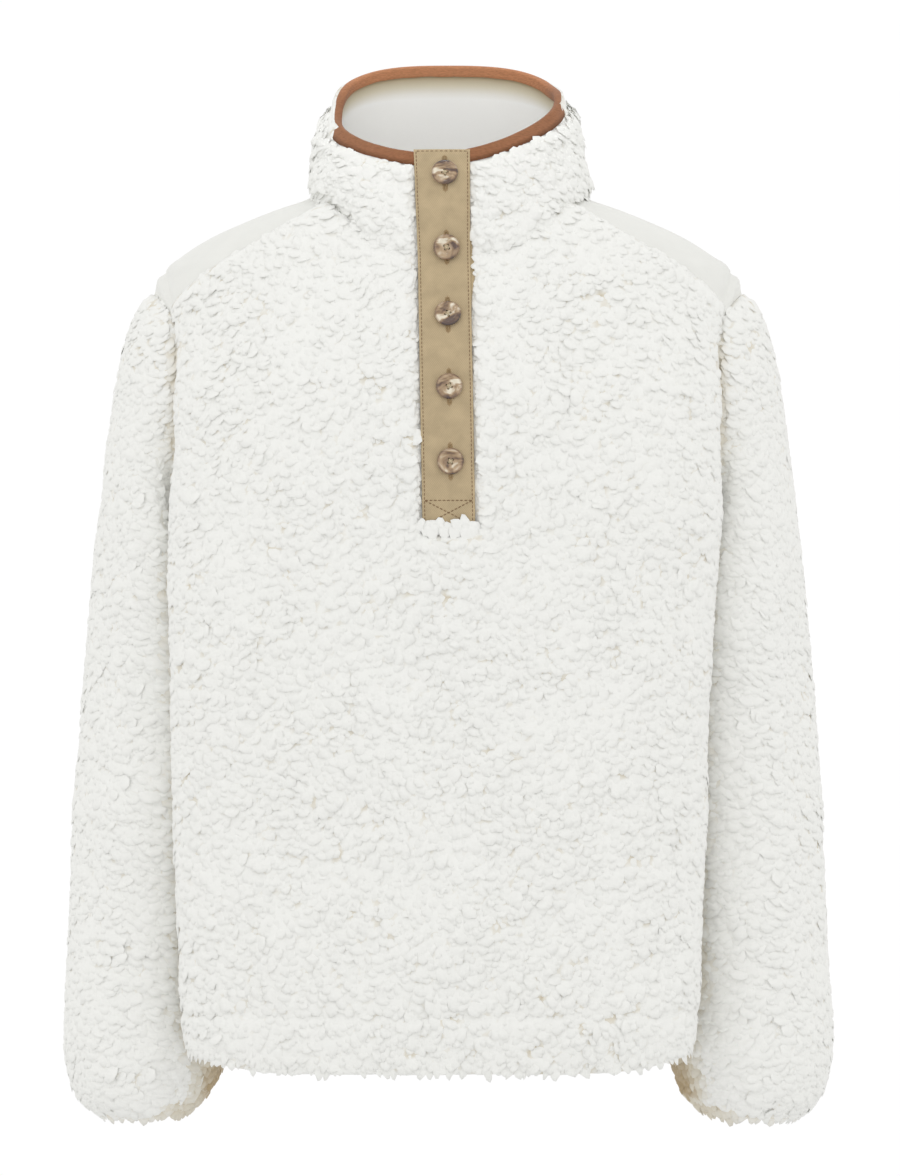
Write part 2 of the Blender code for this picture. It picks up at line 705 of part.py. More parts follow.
def build_sleeve(side, fleece):
    name = "sleeve_left" if side == LEFT else "sleeve_right"
    phi = np.arange(ARMHOLE_STEPS) * 360 / ARMHOLE_STEPS
    signed = (phi + 180) % 360 - 180
    under_head = np.abs(signed) <= HEAD_PHI
    start = np.array([sleeve_row_at(side, p, head_width(p)) if h else 0.0 for p, h in zip(signed, under_head)])
    last = len(SLEEVE["outer_x"])
    share = np.concatenate([[0, 0.3], np.linspace(0.8, last - 2, 11), [last - 1, last - 0.45, last]]) / last
    row = start[None] + (last - start)[None] * share[:, None]
    angle = np.broadcast_to(phi, row.shape)
    points = sleeve_point(side, row, angle)
    panel = Panel(points, sleeve_normal(side, row, angle), pile_depth(points, sleeve_seams(side)))
    columns = np.arange(ARMHOLE_STEPS)
    round_again = np.append(columns, 0)
    direction = armhole_direction(side, phi)
    direction[under_head] = head_edge_direction(side, start[under_head], signed[under_head])
    panel.out[0] = direction
    line = points[0, round_again]
    tangent = unit(np.roll(line[:-1], -1, axis=0) - np.roll(line[:-1], 1, axis=0))
    back = unit(np.cross(tangent, direction))
    back *= np.sign(np.sum(back * (points[1] - points[0]), axis=-1))[:, None]
    panel.shift[0] = back * SEAM_GAP / 2
    thin = np.zeros(row.shape)
    thin[-3:] = -np.array([0.0, HEM_FOLD, HEM_FOLD])[:, None]
    inner, outer = panel.layer(thin, panel.depth)
    return cloth_wall(name, inner, outer, fleece, wrap=True)


def build_sleeve_head(side, woven):
    name = "sleeve_head_left" if side == LEFT else "sleeve_head_right"
    phi = np.arange(-HEAD_PHI, HEAD_PHI + 1, 360 / ARMHOLE_STEPS)
    ends = np.array([sleeve_row_at(side, p, head_width(p)) for p in phi])
    row = np.linspace(0, 1, 3)[:, None] * ends[None]
    angle = np.broadcast_to(phi, row.shape)
    panel = Panel(sleeve_point(side, row, angle), sleeve_normal(side, row, angle), WOVEN)
    columns = np.arange(len(phi))
    start, end = armhole_direction(side, phi), head_edge_direction(side, ends, phi)
    panel.out[1] = unit(start + end)
    panel.sew(0, columns, (1, 0), start)
    panel.sew(2, columns, (-1, 0), end)
    inner, outer = panel.layer(0.0, panel.depth)
    return cloth_wall(name, inner, outer, woven)


# The collar, its facing and its binding


def collar_angles():
    """Angles round the neck from the opening's left edge to its right one, matching the panels."""
    ledge = {side: slot_angles(side, SLOT_HALF + LEDGE)[0] for side in (LEFT, RIGHT)}
    slot = {side: slot_angles(side, SLOT_HALF)[0] for side in (LEFT, RIGHT)}
    front, back = YOKE_NECK_ANGLE["front"], 180 - YOKE_NECK_ANGLE["back"]
    yoke = int(ARMHOLE_STEPS * 2 * YOKE_PHI / 360) + 1
    left = np.concatenate([[slot[LEFT]], np.linspace(ledge[LEFT], front, NECK_COLUMNS + 1)])
    left = np.concatenate([left, np.linspace(front, back, yoke)[1:]])
    behind = np.linspace(back, 360 - back, 2 * NECK_COLUMNS + 1)[1:-1]
    right = np.concatenate([[slot[RIGHT]], np.linspace(ledge[RIGHT], -front, NECK_COLUMNS + 1)])
    right = np.concatenate([right, np.linspace(-front, -back, yoke)[1:]])
    return np.concatenate([left, behind, (right + 360)[::-1]])


COLLAR_SHARES = np.array([0, 0.16, 0.4, 0.66])


def collar_panel(depth):
    around = collar_angles()
    angle = np.broadcast_to(around, (len(COLLAR_SHARES) + 2, len(around)))
    length = np.linalg.norm(collar_point(around, 1.0) - collar_point(around, 0.0), axis=-1)
    share = np.broadcast_to(COLLAR_SHARES[:, None], (len(COLLAR_SHARES), len(around)))
    share = np.concatenate([share, [1 - (BINDING_OUTSIDE + 1.2) / length], np.ones((1, len(around)))])
    panel = Panel(collar_point(angle, share), collar_normal(angle, share), depth)
    columns = np.arange(angle.shape[1])
    panel.sew(0, columns, (1, 0), neck_direction(angle[0]))
    return panel


def build_collar(fleece):
    flat = collar_panel(0.0)
    neck = (flat.points[0], 0.0, 14, PILE_AT_SEAM)
    edge = (flat.points[-1], BINDING_OUTSIDE + 2.0, 9, PILE_AT_LEDGE)
    slots = [(flat.points[:, c], LEDGE + 1.0, 9, PILE_AT_LEDGE) for c in (0, -1)]
    panel = collar_panel(pile_depth(flat.points, [neck, edge, *slots]))
    inner, outer = panel.layer(0.0, panel.depth)
    return cloth_wall("collar", inner, outer, fleece)


def build_collar_facing(woven):
    panel = collar_panel(FACING)
    inner, outer = panel.layer(-LAYER_GAP - FACING, -LAYER_GAP)
    return cloth_wall("collar_facing", inner, outer, woven)


def build_binding(tape):
    """A tape folded over the collar's edge, as a channel swept along it."""
    inside = -LAYER_GAP * 2 - FACING - 0.2
    outside = PILE_AT_LEDGE + LAYER_GAP
    soft = 0.9
    section = [
        (inside - BINDING, -BINDING_INSIDE),
        (inside - BINDING, LAYER_GAP + BINDING - soft),
        (inside - BINDING + soft, LAYER_GAP + BINDING + 0.2),
        (outside + BINDING - soft, LAYER_GAP + BINDING + 0.2),
        (outside + BINDING, LAYER_GAP + BINDING - soft),
        (outside + BINDING, -BINDING_OUTSIDE),
        (outside, -BINDING_OUTSIDE),
        (outside, LAYER_GAP),
        (inside, LAYER_GAP),
        (inside, -BINDING_INSIDE),
    ]
    angle = collar_angles()
    edge = collar_point(angle, 1.0)
    out = collar_normal(angle, 1.0)
    length = np.linalg.norm(edge - collar_point(angle, 0.0), axis=-1)
    up = unit(edge - collar_point(angle, 1 - (BINDING_OUTSIDE + 1.2) / length))
    mesh = bmesh.new()
    rings = []
    for place, outward, upward in zip(edge, out, up):
        rings.append([mesh.verts.new((place + outward * o + upward * u) * MM) for o, u in section])
    for first, second in zip(rings, rings[1:]):
        for k in range(len(section)):
            n = (k + 1) % len(section)
            mesh.faces.new([first[k], first[n], second[n], second[k]])
    mesh.faces.new(rings[0])
    mesh.faces.new(rings[-1][::-1])
    bmesh.ops.recalc_face_normals(mesh, faces=mesh.faces)
    bmesh.ops.triangulate(mesh, faces=mesh.faces, quad_method="SHORT_EDGE")
    return finish_mesh("collar_binding", mesh, tape)


# The placket


def opening_point(x, height):
    """The backing's surface at the front opening, on the chest and on up the collar."""
    x, height = np.broadcast_arrays(np.asarray(x, float), np.asarray(height, float))
    seam = neck_height(0)
    low = body_point(front_angle(x, np.minimum(height, seam)), np.minimum(height, seam))
    top = collar_top(0.0)
    share = np.clip((height - seam) / (top[2] - seam), 0, 1.1)
    bend = COLLAR_SQUARE["front"]
    top_y = -COLLAR_HALF_DEPTH * (1 - np.abs(x / COLLAR_HALF_WIDTH) ** bend) ** (1 / bend)
    belly = COLLAR_BELLY * np.sin(math.pi * np.clip(share, 0, 1))
    y = low[..., 1] * (1 - share) + top_y * share - belly
    return np.stack([x, y, height], -1)


def opening_normal(x, height):
    return normals(opening_point, x, height, 0.5, 4.0)


def strip(name, across, height, low, high, cloth):
    """A band laid up the opening, between two depths over the backing."""
    x = placket_centre(height)[:, None] + np.array(across)
    height = np.broadcast_to(height[:, None], x.shape)
    panel = Panel(opening_point(x, height), opening_normal(x, height), high)
    inner, outer = panel.layer(low, high)
    return cloth_wall(name, inner, outer, cloth)


UNDER_LOW = PILE_AT_LEDGE + LAYER_GAP + 0.7
UPPER_LOW = UNDER_LOW + UNDER_CLOTH + LAYER_GAP
UPPER_HIGH = UPPER_LOW + WOVEN


def build_placket(twill):
    half = PLACKET_WIDTH / 2
    seam = float(neck_height(0))
    chest = np.linspace(UNDER_BOTTOM + 14, seam, 12)
    collar = [seam + 12, seam + 30, 5, UNDER_TOP, PLACKET_TOP]
    height = np.concatenate([[PLACKET_BOTTOM, UNDER_BOTTOM], chest, collar])
    across = [-half, -SLOT_HALF, -5, 5, SLOT_HALF, half, half + UNDER_PEEK]
    strip("placket", across[:-1], height, UPPER_LOW, UPPER_HIGH, twill)
    strip("placket_under", across[2:], height[1:-1], UNDER_LOW, UNDER_LOW + UNDER_CLOTH, twill)


# The buttons


def button_mesh(horn):
    """A four-hole button turned about Z, with a raised rim, standing on z = 0."""
    profile = [(0, 2.1), (4.6, 2.1), (5.9, 3.0), (8.2, 3.3)]
    profile += [(BUTTON_RADIUS, 2.3), (BUTTON_RADIUS, 1.2), (BUTTON_SEAT, 0), (0, 0)]
    data = bpy.data.meshes.new("button_profile")
    data.from_pydata([(r * MM, 0, z * MM) for r, z in profile], [(i, i + 1) for i in range(len(profile) - 1)], [])
    turned = bpy.data.objects.new("button_profile", data)
    GUIDES.objects.link(turned)
    screw = turned.modifiers.new("turn", "SCREW")
    screw.steps = screw.render_steps = BUTTON_STEPS
    screw.use_merge_vertices = True
    screw.merge_threshold = 0.00001
    for k in range(4):
        angle = math.radians(45 + 90 * k)
        cutter_mesh = bmesh.new()
        bmesh.ops.create_cone(
            cutter_mesh, cap_ends=True, segments=8, radius1=BUTTON_HOLE_RADIUS * MM,
            radius2=BUTTON_HOLE_RADIUS * MM, depth=8 * MM,
        )
        data = bpy.data.meshes.new(f"thread_hole_{k}")
        cutter_mesh.to_mesh(data)
        cutter_mesh.free()
        cutter = bpy.data.objects.new(f"thread_hole_{k}", data)
        cutter.location = (BUTTON_HOLE_OFFSET * math.cos(angle) * MM, BUTTON_HOLE_OFFSET * math.sin(angle) * MM, 0)
        cutter.hide_render = True
        cutter.display_type = "WIRE"
        GUIDES.objects.link(cutter)
        cut = turned.modifiers.new(f"hole_{k}", "BOOLEAN")
        cut.object = cutter
    turned.hide_render = True
    turned.display_type = "WIRE"
    bpy.context.view_layer.update()
    made = bpy.data.meshes.new_from_object(turned.evaluated_get(bpy.context.evaluated_depsgraph_get()))
    made.name = "button"
    made.materials.clear()
    made.materials.append(horn)
    made.shade_smooth()
    made.set_sharp_from_angle(angle=math.radians(35))
    return made


def build_buttons(horn):
    shared = button_mesh(horn)
    for number, height in enumerate(BUTTON_HEIGHTS, 1):
        x = float(placket_centre(height)) + 2.0
        out = opening_normal(np.array(x), np.array(height))
        seat = opening_point(x, height)
        rim = np.radians(np.arange(0, 360, 30))
        around = opening_point(x + BUTTON_SEAT * np.sin(rim), height + BUTTON_SEAT * np.cos(rim))
        lift = max(0.0, float(((around - seat) @ out).max()))
        seat = seat + out * (UPPER_HIGH + LAYER_GAP + lift)
        button = bpy.data.objects.new(f"button_{number}", shared)
        lean = math.atan2(-out[2], -out[1])
        button.rotation_euler = (math.pi / 2 + lean, 0, 0)
        button.location = seat * MM
        PULLOVER.objects.link(button)


for old in list(bpy.data.objects):
    bpy.data.objects.remove(old)
PULLOVER = bpy.data.collections.new("sherpa_pullover")
GUIDES = bpy.data.collections.new("cutters")
for collection in (PULLOVER, GUIDES):
    bpy.context.scene.collection.children.link(collection)

SHERPA = material("sherpa_fleece", (0.86, 0.87, 0.83), 0.95)
WHITE_CLOTH = material("white_woven_cloth", (0.80, 0.80, 0.77), 0.7)
TWILL = material("khaki_twill", (0.46, 0.36, 0.22), 0.8)
TAPE = material("brown_binding_tape", (0.35, 0.16, 0.075), 0.75)
HORN = material("mottled_horn", (0.30, 0.20, 0.12), 0.25)

build_front(SHERPA)
build_back(SHERPA)
for wearer_side in (LEFT, RIGHT):
    build_yoke(wearer_side, WHITE_CLOTH)
    build_sleeve_head(wearer_side, WHITE_CLOTH)
    build_sleeve(wearer_side, SHERPA)
build_collar(SHERPA)
build_collar_facing(WHITE_CLOTH)
build_binding(TAPE)
build_placket(TWILL)
build_buttons(HORN)
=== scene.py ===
"""A sherpa fleece pullover, dressed for a studio photograph.

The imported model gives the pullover's pieces and their places. Each fleece piece is made here as a closed
shell: a fine outer side with curled pile, and a plain knitted backing inside. Woven cloth, tape, thread and
horn buttons follow. Surfaces are worked out in millimetres and become metres in the meshes. +Z is up, the
front faces -Y, and left and right are the wearer's.
"""

import math

import bmesh
import bpy
import numpy as np
from mathutils import Matrix, Vector


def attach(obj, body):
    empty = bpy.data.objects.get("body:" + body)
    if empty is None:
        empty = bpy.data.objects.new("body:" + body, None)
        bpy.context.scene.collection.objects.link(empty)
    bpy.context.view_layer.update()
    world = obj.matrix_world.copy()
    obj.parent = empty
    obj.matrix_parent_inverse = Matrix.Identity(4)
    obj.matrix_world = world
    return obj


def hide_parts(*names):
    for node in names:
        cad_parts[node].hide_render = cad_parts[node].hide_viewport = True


bl_info = {
    "name": "Sherpa pullover",
    "version": (1, 0, 0),
    "blender": (4, 5, 0),
    "location": "View3D > Sidebar > Pullover",
    "description": "Dresses a pullover in curled fleece, twill, tape, thread and horn, with its studio",
    "category": "Object",
}

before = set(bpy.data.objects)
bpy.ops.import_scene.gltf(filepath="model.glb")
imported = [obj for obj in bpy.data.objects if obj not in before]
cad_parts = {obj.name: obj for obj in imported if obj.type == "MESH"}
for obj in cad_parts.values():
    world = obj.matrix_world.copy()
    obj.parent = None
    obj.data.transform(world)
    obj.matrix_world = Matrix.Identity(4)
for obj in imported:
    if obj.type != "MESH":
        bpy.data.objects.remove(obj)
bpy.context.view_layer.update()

MM = 0.001
LEFT, RIGHT = 1, -1
SIDES = {"left": LEFT, "right": RIGHT}

# Cloth thicknesses and the room that layers leave each other
PILE = 8.0
PILE_AT_SEAM = 4.2
PILE_AT_NECK = 5.0
PILE_UNDERARM = 1.1
PILE_AT_LEDGE = 2.2
WOVEN = 1.6
FACING = 1.2
BINDING = 1.0
LAYER_GAP = 0.3
BACKING = 0.3

# Hem and cuff: how far up the turned edge goes, and how thick the pile is inside it
HEM_HEIGHT = -628.0
HEM_TURN = 30.0
HEM_FOLD = 4.0
# How far above the hem its stitches sink the pile
HEM_STITCH = 38.0
# The corners of the body's hem: how high they curl, how far round they are and how wide
CORNER_LIFT = 12.0
CORNER_ANGLE = 68.0
CORNER_SPREAD = 13.0

# How much flatter the pile lies outside the upper arm, and over which heights
ARM_FLAT = 4.5
ARM_FLAT_HEIGHT, ARM_FLAT_SPREAD = -155.0, 62.0

# Where an arm hangs beside the body, and how far front to back it presses the cloth in
ARM_Y = 8.0
ARM_REACH = 72.0

# Armhole
ARMHOLE_TOP = -51.0
UNDERARM = -238.0
ARMHOLE_SWING = 19.0
UNDERARM_POINT = 0.4

# Yoke and sleeve head
YOKE_PHI = 45.0
YOKE_NECK_ANGLE = {"front": 58.0, "back": 55.0}
HEAD_PHI = 56.25
HEAD_WIDTH = 20.0
HEAD_TIP = 2.4
SHOULDER_LIFT = 1.4
GATHERS = {LEFT: 1.0, RIGHT: 0.4}
GATHER_STEP = 3.8

# Front opening and its placket
SLOT_HALF = 14.0
LEDGE = 7.0
PLACKET_WIDTH = 38.0
PLACKET_TOP, PLACKET_BOTTOM = 34.6, -240.0
PLACKET_DRIFT = (-4.3, 0.7)
UNDER_TOP, UNDER_BOTTOM = 19.5, -232.0
UNDER_CLOTH = 1.2
UNDER_LOW = PILE_AT_LEDGE + LAYER_GAP + 0.7
UPPER_LOW = UNDER_LOW + UNDER_CLOTH + LAYER_GAP
UPPER_HIGH = UPPER_LOW + WOVEN

# Collar
COLLAR_HALF_WIDTH = 81.0
COLLAR_HALF_DEPTH = 68.0
COLLAR_SQUARE = {"front": 1.7, "back": 2.8}
COLLAR_HEIGHT = 70.0
COLLAR_TILT = 37.5
COLLAR_ROLL = 7.5
COLLAR_LEVEL_BEHIND = 42.0
COLLAR_BELLY = 2.5
BINDING_OUTSIDE, BINDING_INSIDE = 10.5, 7.0

# Buttons
BUTTON_RADIUS = 9.5
BUTTON_SEAT = 7.6
BUTTON_HEIGHTS = (16.0, -38.0, -88.0, -140.0, -193.0)
BUTTON_OFF_CENTRE = 2.0
BUTTON_HOLE_RADIUS = 0.9
BUTTON_HOLE_OFFSET = 1.9

# Stitches on the placket: how far in from its edge, how long, how far apart and how thick
STITCH_IN = 1.8
STITCH_LENGTH, STITCH_STEP, STITCH_RADIUS = 2.1, 2.9, 0.36
BOX_HEIGHT = 17.5
# A buttonhole's satin threads: how far they reach from its middle, and how far apart they lie
BUTTONHOLE_REACH, SATIN_STEP = 12.4, 0.62

# The width of one curled lock of pile, and the seed of every draw that shapes the locks
LOCK_WIDTH = 9.0
PILE_SEED = 3
# Flakes of pile: how far apart they lie and half their size
FLAKES = {"front": (5.35, 4.4), "back": (6.6, 5.6), "sleeve": (5.4, 4.4), "collar": (4.7, 4.7)}
CURL_SEEDS = {"panel": 17, "sleeve": 40, "collar": 77, "foot": 91, "foot_places": 90}
# How many points a flake's rim has, and how far its shading turns at its sides and at its tip
RIM_POINTS = 8
SOFT_RIM = 0.4
ROUND_TIP = 0.85

# Large primes that mix a cell's three whole numbers and a seed
CELL_PRIMES = (73856093, 19349663, 83492791)
SEED_PRIME = 2654435761

SHERPA = "sherpa_polyester_tumbled_pile"

# How many fine steps the pile has for each step of its backing
FINE = 2
# Steps of the backing
HEM_STEPS, LOWER_STEPS, UPPER_STEPS = 5, 52, 30
YOKE_STEPS, NECK_STEPS = 22, 13
LEDGE_STEPS, SLOT_STEPS = 1, 2
SLEEVE_STEPS_ROUND, SLEEVE_STEPS_DOWN = 50, 78
COLLAR_STEPS_UP = 15
FOLD_ROWS = 7


def table(names, *rows):
    """A short table as one array for each named column."""
    return {name: np.array([row[i] for row in rows], float) for i, name in enumerate(names)}


BODY = table(
    ("height", "half_width", "front", "back", "square", "dent", "shift"),
    (-640, 186, 112, 108, 3.6, 0.30, -6),
    (-628, 193, 117, 112, 3.8, 0.31, -6),
    (-600, 200, 121, 116, 4.0, 0.33, -6),
    (-500, 204, 124, 118, 4.0, 0.355, -6),
    (-400, 207, 126, 121, 4.0, 0.37, -6),
    (-300, 209, 128, 124, 4.0, 0.37, -5),
    (-265, 210, 129, 125, 4.0, 0.34, -4),
    (-238, 210, 129, 126, 4.0, 0.29, -2),
    (-200, 209, 128, 126, 3.9, 0.20, -1),
    (-150, 208, 122, 124, 3.7, 0.10, 0),
    (-110, 207, 112, 120, 3.3, 0.04, 0),
    (-75, 207, 100, 113, 2.9, 0, 0),
    (-51, 205.5, 91, 105, 2.6, 0, 0),
    (-42, 197, 88, 101, 2.5, 0, 0),
    (-33, 185, 86, 97, 2.4, 0, 0),
    (-24, 169, 83, 92, 2.4, 0, 0),
    (-15.5, 150, 80, 86, 2.3, 0, 0),
    (-7, 129, 76, 80, 2.2, 0, 0),
    (5, 97, 70, 72, 2.1, 0, 0),
    (20, 84, 60, 64, 2.1, 0, 0),
)

# The neck seam's height, by the angle round the neck from the front
NECKLINE = table(
    ("angle", "height"),
    (0, -42),
    (14, -41.5),
    (28, -37),
    (37, -28),
    (45, -15.5),
    (58, -4),
    (90, 5),
    (125, 11),
    (180, 14),
)

# Each sleeve ring runs between a point on the outer arm line and one on the inner. It stays clear of the
# body's side. Its points are turned towards the outer line, the longer way down from the armhole.
SLEEVE = table(
    ("outer_x", "outer_z", "inner_x", "inner_z", "half_depth", "centre_y", "clear", "twist", "lean"),
    (227, -86, 162, -258, 68, 7, 17, 19, 0.62),
    (239, -122, 158, -280, 69, 9, 24, 30, 0.66),
    (247, -170, 158, -312, 70, 10, 27, 34, 0.72),
    (252, -230, 159, -350, 70, 11, 27, 33, 0.8),
    (257, -295, 160, -390, 69, 12, 26, 31, 0.88),
    (263, -365, 160, -438, 67, 12, 26, 27, 0.95),
    (269, -440, 162, -490, 65, 12, 26, 25, 1),
    (272, -510, 166, -540, 63, 11, 26, 22, 1),
    (275, -575, 170, -590, 61, 10, 26, 20, 1),
    (276, -625, 172, -628, 59, 9, 26, 18, 1),
    (269, -655, 180, -650, 53, 8, 26, 16, 1),
    (254, -668, 192, -664, 43, 8, 26, 16, 1),
)

# Soft vertical folds down each sleeve: where round the arm, how deep, and over which rows
SLEEVE_FOLDS = table(
    ("phi", "depth", "width", "first_row", "last_row"),
    (42, 4.5, 15, 2.5, 9.5),
    (-50, 4.0, 16, 3.0, 9.0),
    (-110, 3.0, 18, 4.0, 10.0),
)


def smooth_value(places, values, at):
    """A cubic through a column of values that never overshoots them."""
    at = np.asarray(at, float)
    step = np.diff(places)
    slope = np.diff(values) / step
    before, after = slope[:-1], slope[1:]
    same_way = before * after > 0
    total = np.where(same_way, before + after, 1.0)
    middle = np.where(same_way, 2 * before * after / total, 0.0)
    tangent = np.concatenate([slope[:1], middle, slope[-1:]])
    i = np.clip(np.searchsorted(places, at) - 1, 0, len(step) - 1)
    t = (at - places[i]) / step[i]
    rise = t * t * (3 - 2 * t)
    return (
        values[i] * (1 - rise)
        + values[i + 1] * rise
        + step[i] * t * (1 - t) * (tangent[i] * (1 - t) - tangent[i + 1] * t)
    )


def unit(vectors):
    return vectors / np.maximum(np.linalg.norm(vectors, axis=-1, keepdims=True), 1e-9)


def ease(share):
    share = np.clip(share, 0, 1)
    return share * share * (3 - 2 * share)


def bell(away, width):
    """1 where away is 0, and smoothly down to nothing within about twice the width."""
    return np.exp(-((away / width) ** 2))


def either_way(angle):
    """How far an angle is from 0, whichever way round."""
    return np.abs((np.asarray(angle, float) + 180) % 360 - 180)


def distances_along(line):
    """How far along a line each of its points is."""
    return np.concatenate([[0], np.cumsum(np.linalg.norm(np.diff(line, axis=0), axis=-1))])


def normals(surface, u, v, step_u, step_v):
    """The direction across a surface that is given as a function of two numbers."""
    along_u = surface(u + step_u, v) - surface(u - step_u, v)
    along_v = surface(u, v + step_v) - surface(u, v - step_v)
    return unit(np.cross(along_u, along_v))


def grid_normals(points, outward, wrap=False):
    """The directions across a grid of points, on the side of it that outward gives as 1 or -1."""
    if wrap:
        along = np.roll(points, -1, axis=1) - np.roll(points, 1, axis=1)
    else:
        along = np.gradient(points, axis=1)
    return outward * unit(np.cross(along, np.gradient(points, axis=0)))


# The body's surface


def body_ring(height):
    """The body's measures at a height."""
    return {name: smooth_value(BODY["height"], BODY[name], height) for name in BODY}


def arm_dent(ring, y):
    """The share by which an arm beside the body presses it in."""
    return ring["dent"] * np.exp(-((np.abs(y - ARM_Y) / ARM_REACH) ** 3))


def ring_radius(angle, half_width, depth, square):
    across = np.abs(np.sin(angle)) / half_width
    along = np.abs(np.cos(angle)) / depth
    return (across**square + along**square) ** (-1 / square)


def body_point(angle, height):
    """A point of the backing. The angle is in degrees round from the front towards the wearer's left."""
    angle, height = np.broadcast_arrays(np.radians(angle), np.asarray(height, float))
    ring = body_ring(height)
    depth = np.where(np.cos(angle) > 0, ring["front"], ring["back"])
    radius = ring_radius(angle, ring["half_width"], depth, ring["square"])
    y = -radius * np.cos(angle)
    pressed = arm_dent(ring, y)
    x = ring["shift"] + radius * np.sin(angle) * (1 - pressed)
    return np.stack([x, y, height], -1)


def body_normal(angle, height):
    return normals(body_point, np.asarray(angle, float), np.asarray(height, float), 0.2, 0.2)


def side_reach(side, y, height):
    """How far out the body's side reaches at this depth and height."""
    ring = body_ring(height)
    depth = np.where(y < 0, ring["front"], ring["back"])
    share = np.clip(1 - (np.abs(y) / depth) ** ring["square"], 0, 1)
    pressed = arm_dent(ring, y)
    return side * ring["shift"] + ring["half_width"] * share ** (1 / ring["square"]) * (1 - pressed)


def front_angle(x, height):
    """The angle of the point of the front that has this x."""
    ring = body_ring(height)
    across = x - ring["shift"]
    share = 1 - (np.abs(across) / ring["half_width"]) ** ring["square"]
    return np.degrees(np.arctan2(across, ring["front"] * share ** (1 / ring["square"])))


def placket_centre(height):
    top, bottom = PLACKET_DRIFT
    share = np.clip((PLACKET_TOP - height) / (PLACKET_TOP - PLACKET_BOTTOM), 0, 1)
    return top + (bottom - top) * share


def neck_height(angle):
    return smooth_value(NECKLINE["angle"], NECKLINE["height"], either_way(angle))


def facing_angle(face, across):
    """Front and back panels both run from -90 to 90 degrees across."""
    return across if face == "front" else 180 - across


def armhole_place(side, phi):
    """Where on the body the armhole passes: phi is 0 at the shoulder, 90 in front and 180 underarm."""
    turn = np.radians(phi)
    middle, half = (ARMHOLE_TOP + UNDERARM) / 2, (ARMHOLE_TOP - UNDERARM) / 2
    around = either_way(phi)
    pointed = (1 - UNDERARM_POINT) * np.cos(turn) - UNDERARM_POINT * (around - 90) / 90
    height = middle + half * np.where(around > 90, pointed, np.cos(turn))
    return side * (90 - ARMHOLE_SWING * np.sin(turn)), height


def yoke_seam(face, side, share):
    """The seam between a yoke and a panel, from the armhole to the neck."""
    phi = YOKE_PHI if face == "front" else -YOKE_PHI
    _, start_height = armhole_place(side, phi)
    start_across = side * (90 - ARMHOLE_SWING * math.sin(math.radians(YOKE_PHI)))
    end_across = side * YOKE_NECK_ANGLE[face]
    end_height = neck_height(facing_angle(face, end_across))
    across = start_across + (end_across - start_across) * share
    return across, start_height + (end_height - start_height) * share


# The sleeve's surface


def sleeve_rings(side, phi):
    """The armhole and then each ring of the table, at the angles phi round the arm."""
    rings = [body_point(*armhole_place(side, phi))]
    for row in range(len(SLEEVE["outer_x"])):
        ring = {name: SLEEVE[name][row] for name in SLEEVE}
        degrees = phi - ring["twist"] * np.sin(np.radians(phi))
        turn = np.radians(degrees)
        share = (1 + np.cos(turn)) / 2
        fold = np.zeros_like(turn)
        for k in range(len(SLEEVE_FOLDS["phi"])):
            off = (degrees - SLEEVE_FOLDS["phi"][k] + 180) % 360 - 180
            first, last = SLEEVE_FOLDS["first_row"][k], SLEEVE_FOLDS["last_row"][k]
            along = np.sin(math.pi * np.clip((row + 1 - first) / (last - first), 0, 1))
            fold = fold + SLEEVE_FOLDS["depth"][k] * along * bell(off, SLEEVE_FOLDS["width"][k])
        shrink = 1 - fold / ring["half_depth"]
        middle_x = (ring["outer_x"] + ring["inner_x"]) / 2
        middle_z = (ring["outer_z"] + ring["inner_z"]) / 2
        x = ring["inner_x"] + (ring["outer_x"] - ring["inner_x"]) * share ** ring["lean"]
        z = ring["inner_z"] + (ring["outer_z"] - ring["inner_z"]) * share
        x = middle_x + (x - middle_x) * shrink
        z = middle_z + (z - middle_z) * shrink
        y = ring["centre_y"] - ring["half_depth"] * np.sin(turn) * shrink
        around = either_way(degrees)
        least = side_reach(side, y, z) + ring["clear"] * ease((around - 45) / 65)
        least = least - 60 * (1 - ease(around / 60))
        x = (x + least + np.sqrt((x - least) ** 2 + 36)) / 2
        rings.append(np.stack([side * x, y, z], -1))
    return np.stack(rings)


def sleeve_point(side, row, phi):
    """A smooth surface through the rings. Row 0 is the armhole, and columns go round the arm."""
    row = np.asarray(row, float)
    phi = np.broadcast_to(np.asarray(phi, float), row.shape[-1:])
    rings = sleeve_rings(side, phi)
    last = len(rings) - 1
    i = np.clip(np.floor(row).astype(int), 0, last - 1)
    t = (row - i)[..., None]
    column = np.broadcast_to(np.arange(row.shape[-1]), row.shape)

    def ring(k):
        return rings[np.clip(k, 0, last), column]

    here, there = ring(i), ring(i + 1)
    leave = np.where((i > 0)[..., None], (there - ring(i - 1)) / 2, there - here)
    arrive = np.where((i < last - 1)[..., None], (ring(i + 2) - here) / 2, there - here)
    rise = t * t * (3 - 2 * t)
    return here * (1 - rise) + there * rise + t * (1 - t) * (leave * (1 - t) - arrive * t)


def sleeve_normal(side, row, phi):
    """The way out of the sleeve near a row, for angles round the arm."""
    row = np.maximum(row, 0.02)
    down = sleeve_point(side, row + 0.02, phi) - sleeve_point(side, row - 0.02, phi)
    across = sleeve_point(side, row, phi + 0.5) - sleeve_point(side, row, phi - 0.5)
    return side * unit(np.cross(across, down))


def head_width(phi):
    """How far the plain woven sleeve head reaches down from the armhole."""
    arch = HEAD_WIDTH * np.cos(math.pi / 2 * np.clip(np.abs(phi) / HEAD_PHI, 0, 1))
    return np.maximum(arch, HEAD_TIP)


